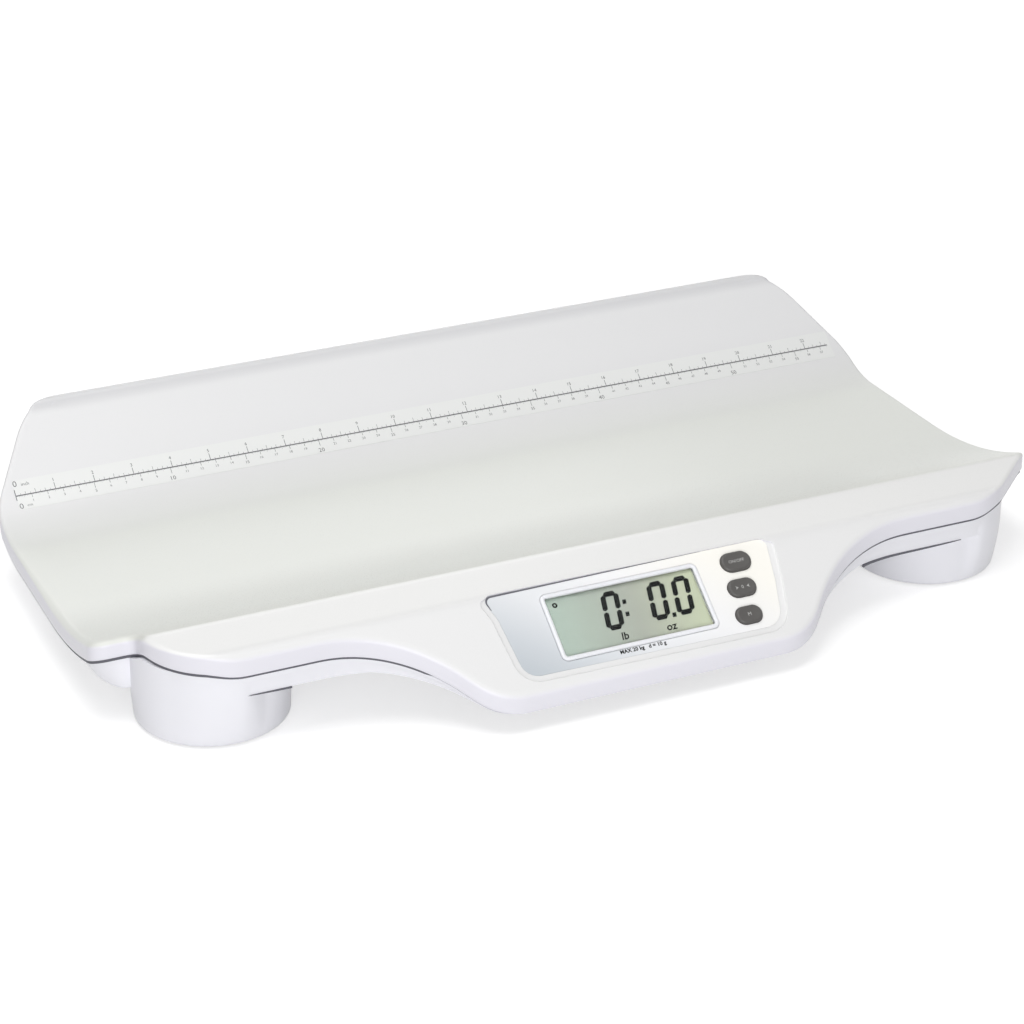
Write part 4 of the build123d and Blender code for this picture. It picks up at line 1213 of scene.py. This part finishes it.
def letters(text, height, centre, slant=0.0, weight=0.0):
    """Points and faces of a line of letters with this height, about its centre.

    Only generic letters and numbers are printed here. The built-in font gives the flat
    shapes, and half a unit of extrusion to each side closes them.
    """
    curve = bpy.data.curves.new("letters", "FONT")
    curve.body = text
    curve.extrude = 0.5
    curve.offset = weight
    curve.resolution_u = 2
    carrier = bpy.data.objects.new("letters", curve)
    bpy.context.scene.collection.objects.link(carrier)
    depsgraph = bpy.context.evaluated_depsgraph_get()
    mesh = bpy.data.meshes.new_from_object(carrier.evaluated_get(depsgraph))
    points = np.empty(len(mesh.vertices) * 3)
    mesh.vertices.foreach_get("co", points)
    points = points.reshape(-1, 3)
    faces = [tuple(face.vertices) for face in mesh.polygons]
    bpy.data.objects.remove(carrier)
    low, high = points[:, :2].min(0), points[:, :2].max(0)
    points[:, :2] = (points[:, :2] - (low + high) / 2) * height / (high[1] - low[1])
    points[:, 0] += slant * points[:, 1]
    points[:, :2] += centre
    return points, faces


def together(shapes):
    """Several (points, faces) pairs as one."""
    points, faces, start = [], [], 0
    for shape_points, shape_faces in shapes:
        points.append(shape_points)
        faces += [tuple(start + corner for corner in face) for face in shape_faces]
        start += len(shape_points)
    return np.concatenate(points), faces


def printed(name, shape, lay, body, finish):
    """A flat print as a piece. lay puts the flat points of its shape on a surface."""
    points, faces = shape
    piece = add_piece(name, lay(points), faces, body, FINISHES[finish])
    piece.data.shade_flat()
    return piece


# %% [markdown]
# ## The ruler
# A white label along the foot of the back rest carries inches above its line and
# centimetres below. The label follows the bend of the tray, so every mark is laid out
# flat, in x and in w, the distance up the surface from the line, and then bent onto
# the section: along the arc up to the slope, and straight beyond it.

# %% Ruler
LABEL_LIFT = 0.2
RULER_START = -288.0
RULER_LENGTH = 576.0
RULER_LINE_Y = 129.5
LINE_RUN = BEND_RADIUS * math.asin((RULER_LINE_Y - BEND_Y) / BEND_RADIUS)
INCH = 25.4


def on_label(flat):
    """Flat marks (x, w, layer) laid on the label: w runs up the arc, then the slope."""
    run = flat[:, 1] + LINE_RUN
    lift = LABEL_LIFT + INK * (flat[:, 2] + INK_LIFT)
    angle = np.minimum(run / BEND_RADIUS, BACK_ANGLE)
    beyond = np.maximum(run - BEND_RADIUS * BACK_ANGLE, 0)
    y = BEND_Y + (BEND_RADIUS - lift) * np.sin(angle) + beyond * math.cos(BACK_ANGLE)
    z = TROUGH_Z + BEND_RADIUS - (BEND_RADIUS - lift) * np.cos(angle)
    z = z + beyond * math.sin(BACK_ANGLE)
    return np.column_stack((flat[:, 0], y, z))


def ruler_ticks():
    """Ticks of both scales: longer at each inch, half and quarter, and at 5 and 10 cm."""
    eighths = np.arange(1, int(RULER_LENGTH / INCH * 8) + 1)
    inch_up = np.select(
        [eighths % 8 == 0, eighths % 4 == 0, eighths % 2 == 0], [4.6, 3.1, 2.1], 1.4
    )
    millis = np.arange(1, int(RULER_LENGTH) + 1)
    cm_down = np.select(
        [millis % 50 == 0, millis % 10 == 0, millis % 5 == 0], [4.3, 2.6, 1.6], 0.9
    )
    wide_inch = np.where(eighths % 8 == 0, 0.34, 0.2)
    wide_cm = np.where(millis % 10 == 0, 0.26, 0.12)
    inch_x = RULER_START + eighths * INCH / 8
    cm_x = RULER_START + millis * 1.0
    centres = np.concatenate((
        np.column_stack((inch_x, inch_up / 2)), np.column_stack((cm_x, -cm_down / 2)),
    ))
    widths = np.concatenate((wide_inch, wide_cm))
    heights = np.concatenate((inch_up, cm_down))
    return bars(centres, widths, heights)


ruler_shapes = [
    ruler_ticks(),
    bars([(RULER_START + RULER_LENGTH / 2, 0.0)], RULER_LENGTH, 0.75),
    bars([(RULER_START - 0.1, 0.5)], 0.45, 7.4),
    letters("0", 4.0, (RULER_START + 1.2, 8.1)),
    letters("inch", 2.2, (RULER_START + 7.6, 7.2)),
    letters("0", 4.0, (RULER_START + 1.6, -7.5)),
    letters("cm", 1.4, (RULER_START + 7.0, -7.7)),
]
for inch in range(1, 23):
    ruler_shapes.append(letters(str(inch), 2.2, (RULER_START + inch * INCH, 6.5)))
for centimetre in range(1, 58):
    tall, low = (2.9, -7.5) if centimetre % 10 == 0 else (2.0, -6.2)
    if centimetre % 10 and centimetre % 5:
        tall, low = 1.7, -4.6
    spot = (RULER_START + centimetre * 10, low)
    ruler_shapes.append(letters(str(centimetre), tall, spot))
ruler_print = printed(
    "ruler_print", together(ruler_shapes), on_label, "housing", "print_grey"
)
print("ruler marks:", len(ruler_shapes), "faces:", len(ruler_print.data.polygons))

# %% [markdown]
# ## The display
# A liquid crystal display shows digits of seven slanted bars with pointed ends. The
# bars lie in the gap between the clear window and the glass. Each digit is worked out
# from its height, width, bar width and slant, so that all digits share one drawing.

# %% Display digits
DIGIT_HIGH = 24.6
DIGIT_WIDE = 11.6
BAR = 3.3
BAR_GAP = 0.3
POINT = 0.32                     # length of a bar's point, in bar widths
SLANT = 0.17
DIGIT_FOOT = -35.4
DISPLAY_DEPTH = 3.26


def bar_shape(start, end):
    """One bar from start to end: a long hexagon whose ends are pointed."""
    start, end = np.asarray(start, float), np.asarray(end, float)
    way = (end - start) / np.linalg.norm(end - start)
    side = np.array((-way[1], way[0])) * BAR / 2
    first, last = start + way * BAR_GAP, end - way * BAR_GAP
    near, far = first + way * BAR * POINT, last - way * BAR * POINT
    rim = np.array((first, near - side, far - side, last, far + side, near + side))
    return rim


def flat_shape(rim):
    """Closed flat piece over an outline that runs counterclockwise."""
    count = len(rim)
    low = np.column_stack((rim, np.full(count, -0.5)))
    high = np.column_stack((rim, np.full(count, 0.5)))
    index = np.arange(count)
    after = (index + 1) % count
    sides = np.column_stack((index, after, after + count, index + count)).tolist()
    return np.concatenate((low, high)), [index[::-1].tolist(), (index + count).tolist()] + sides


def digit_zero(left):
    """The bars of a zero: all but the middle one, from the left foot of the digit."""
    x0, x1 = BAR / 2, DIGIT_WIDE - BAR / 2
    y0, y1 = BAR / 2, DIGIT_HIGH - BAR / 2
    middle = DIGIT_HIGH / 2
    runs = (
        ((x0, y0), (x1, y0)), ((x0, y1), (x1, y1)), ((x0, y0), (x0, middle)),
        ((x0, middle), (x0, y1)), ((x1, y0), (x1, middle)), ((x1, middle), (x1, y1)),
    )
    shapes = []
    for start, end in runs:
        rim = bar_shape(start, end)
        rim[:, 0] += left + SLANT * rim[:, 1]
        rim[:, 1] += DIGIT_FOOT
        shapes.append(flat_shape(rim))
    return shapes


def on_display(flat):
    """Flat marks (x, s, layer) laid between the window and the glass."""
    return on_face(flat[:, 0], flat[:, 1], DISPLAY_DEPTH - INK * flat[:, 2])


display_shapes = digit_zero(-21.6) + digit_zero(8.2) + digit_zero(24.2)
display_shapes += [
    bars([(-4.5, -19.3), (-5.5, -27.2)], 2.4, 2.8, SLANT),
    bars([(22.3, -34.0)], 2.5, 2.8, SLANT),
    letters("lb", 4.9, (-11.9, -40.2), SLANT, 0.022),
    letters("oz", 3.5, (17.9, -41.3), SLANT, 0.022),
    letters("o", 3.4, (-46.5, -12.4), 0.0, 0.045),
]
display_print = printed(
    "display_digits", together(display_shapes), on_display, "housing", "print_black"
)
print("display marks:", len(display_shapes))

PLATE_LIFT = 1.6                 # the capacity line stands a little higher on its plate


def on_plate(flat):
    """Flat marks (x, s, layer) laid on the printed plate."""
    return on_face(flat[:, 0], flat[:, 1], PLATE_DEPTH - INK * (flat[:, 2] + PLATE_LIFT))


capacity_line = letters("MAX 20 kg   d = 10 g", 3.3, (-5.0, -50.7), 0.0, 0.028)
capacity_print = printed("capacity_print", capacity_line, on_plate, "housing", "print_black")

# %% [markdown]
# ## Painted shadow along the plate
# Along the plate's top edge, darkest at its left end, the shade of the recess is painted
# as a dark line that thins out to the right. It is a flat piece whose one side follows
# the edge of the recess and whose other side comes closer to it.

# %% Plate gasket
SHADOW_LINE_WIDE = 1.15
SHADOW_LINE_STEP = 0.8
SHADOW_LINE_POINTS = 185


def gasket_shape():
    """Flat piece between the plate's outline and the same line, moved in by a width.

    The width is SHADOW_LINE_WIDE * (1 - u) * min(1, 0.3 + 12 u), where u runs from 0, a
    little below the top left corner, to 1 at the right end.
    """
    outline = rounded_outline(plate_corners, plate_radii, SHADOW_LINE_STEP)
    normal = outward_normals(outline)
    edge, normal = (np.roll(part, 5, axis=0)[:SHADOW_LINE_POINTS] for part in (outline, normal))
    u = np.linspace(0, 1, SHADOW_LINE_POINTS)
    width = SHADOW_LINE_WIDE * (1 - u) * np.minimum(1, 0.3 + 12 * u) + 0.05
    inner = edge - width[:, None] * normal
    return flat_shape(np.vstack((inner, edge[::-1])))


def on_gasket(flat):
    """The painted shadow's flat piece, laid a little above the plate."""
    return on_face(flat[:, 0], flat[:, 1], PLATE_DEPTH - 0.07 - 0.1 * flat[:, 2])


# Painted shadow: a dark line along the plate's top edge, thinning to the right.
plate_shadow = printed("plate_shadow_line", gasket_shape(), on_gasket, "housing", "painted_shade_grey")

# %% [markdown]
# ## Buttons
# Each button is an obround cap with a rounded edge and a shallow dish for the finger.
# The profile is carried round the obround as rings, from the middle of the dish over
# the edge and down into the console.

# %% Buttons
BUTTON_RISE = 0.6
BUTTON_FOOT = 4.7
FLANGE = 1.5
FLANGE_THICK = 0.8
CAP_ROUND = 1.5
DISH = 0.45


def button_cap(centre, size):
    """Closed rings of one button: dish, rounded edge, wall, flange and underside.

    In the dish, at the share q of the way to its edge, the face lies DISH * (1 - q * q)
    lower than the edge.
    """
    outline = face_rectangle(centre, size, size[1] / 2 - 0.01, 0.55)
    normal = outward_normals(outline)
    middle = np.asarray(centre)
    dish_edge = outline - CAP_ROUND * normal
    rings = []
    for share in np.linspace(0.04, 1.0, 12):
        ring = middle + share * (dish_edge - middle)
        rings.append(on_face(ring[:, 0], ring[:, 1], DISH * (1 - share**2) - BUTTON_RISE))
    for angle in np.radians(np.linspace(15, 90, 6)):
        ring = outline - CAP_ROUND * (1 - math.sin(angle)) * normal
        depth = CAP_ROUND * (1 - math.cos(angle)) - BUTTON_RISE
        rings.append(on_face(ring[:, 0], ring[:, 1], depth))
    for out, depth in (
        (0.0, BUTTON_FOOT), (FLANGE, BUTTON_FOOT), (FLANGE, BUTTON_FOOT + FLANGE_THICK),
    ):
        ring = outline + out * normal
        rings.append(on_face(ring[:, 0], ring[:, 1], depth))
    return closed_rings(np.array(rings))


def zero_legend():
    """A nought between two arrow heads, the usual sign for setting to zero."""
    head = np.array(((-4.6, -1.1), (-2.7, 0.0), (-4.6, 1.1), (-4.0, 0.0)))
    mirrored = (head * (-1, 1))[::-1]
    return together([letters("0", 2.2, (0.0, 0.0)), flat_shape(head), flat_shape(mirrored)])


def in_dish(flat, centre, size):
    """Flat marks about a button's centre, laid in its dish."""
    away = (flat[:, 0] / (size[0] / 2 - CAP_ROUND)) ** 2
    depth = DISH * np.clip(1 - away, 0, 1) - BUTTON_RISE - INK * (flat[:, 2] + INK_LIFT)
    return on_face(flat[:, 0] + centre[0], flat[:, 1] + centre[1], depth)


# Generic switch words, the sign for zero, and a plain M as on any key that recalls.
LEGENDS = {
    "power_button": letters("ON/OFF", 2.0, (0.0, 0.0)),
    "tare_button": zero_legend(),
    "recall_button": letters("M", 2.2, (0.0, 0.0)),
}
for button_name, (centre, size) in BUTTONS.items():
    cap = add_piece(
        button_name.replace("_button", "_cap"), *button_cap(centre, size), button_name,
        FINISHES["button_grey"], [button_name],
    )
    crisp_edges(cap, 50)
    legend = printed(
        button_name.replace("_button", "_legend"), LEGENDS[button_name],
        lambda flat: in_dish(flat, centre, size), button_name, "legend_grey",
    )
print("buttons:", list(BUTTONS))
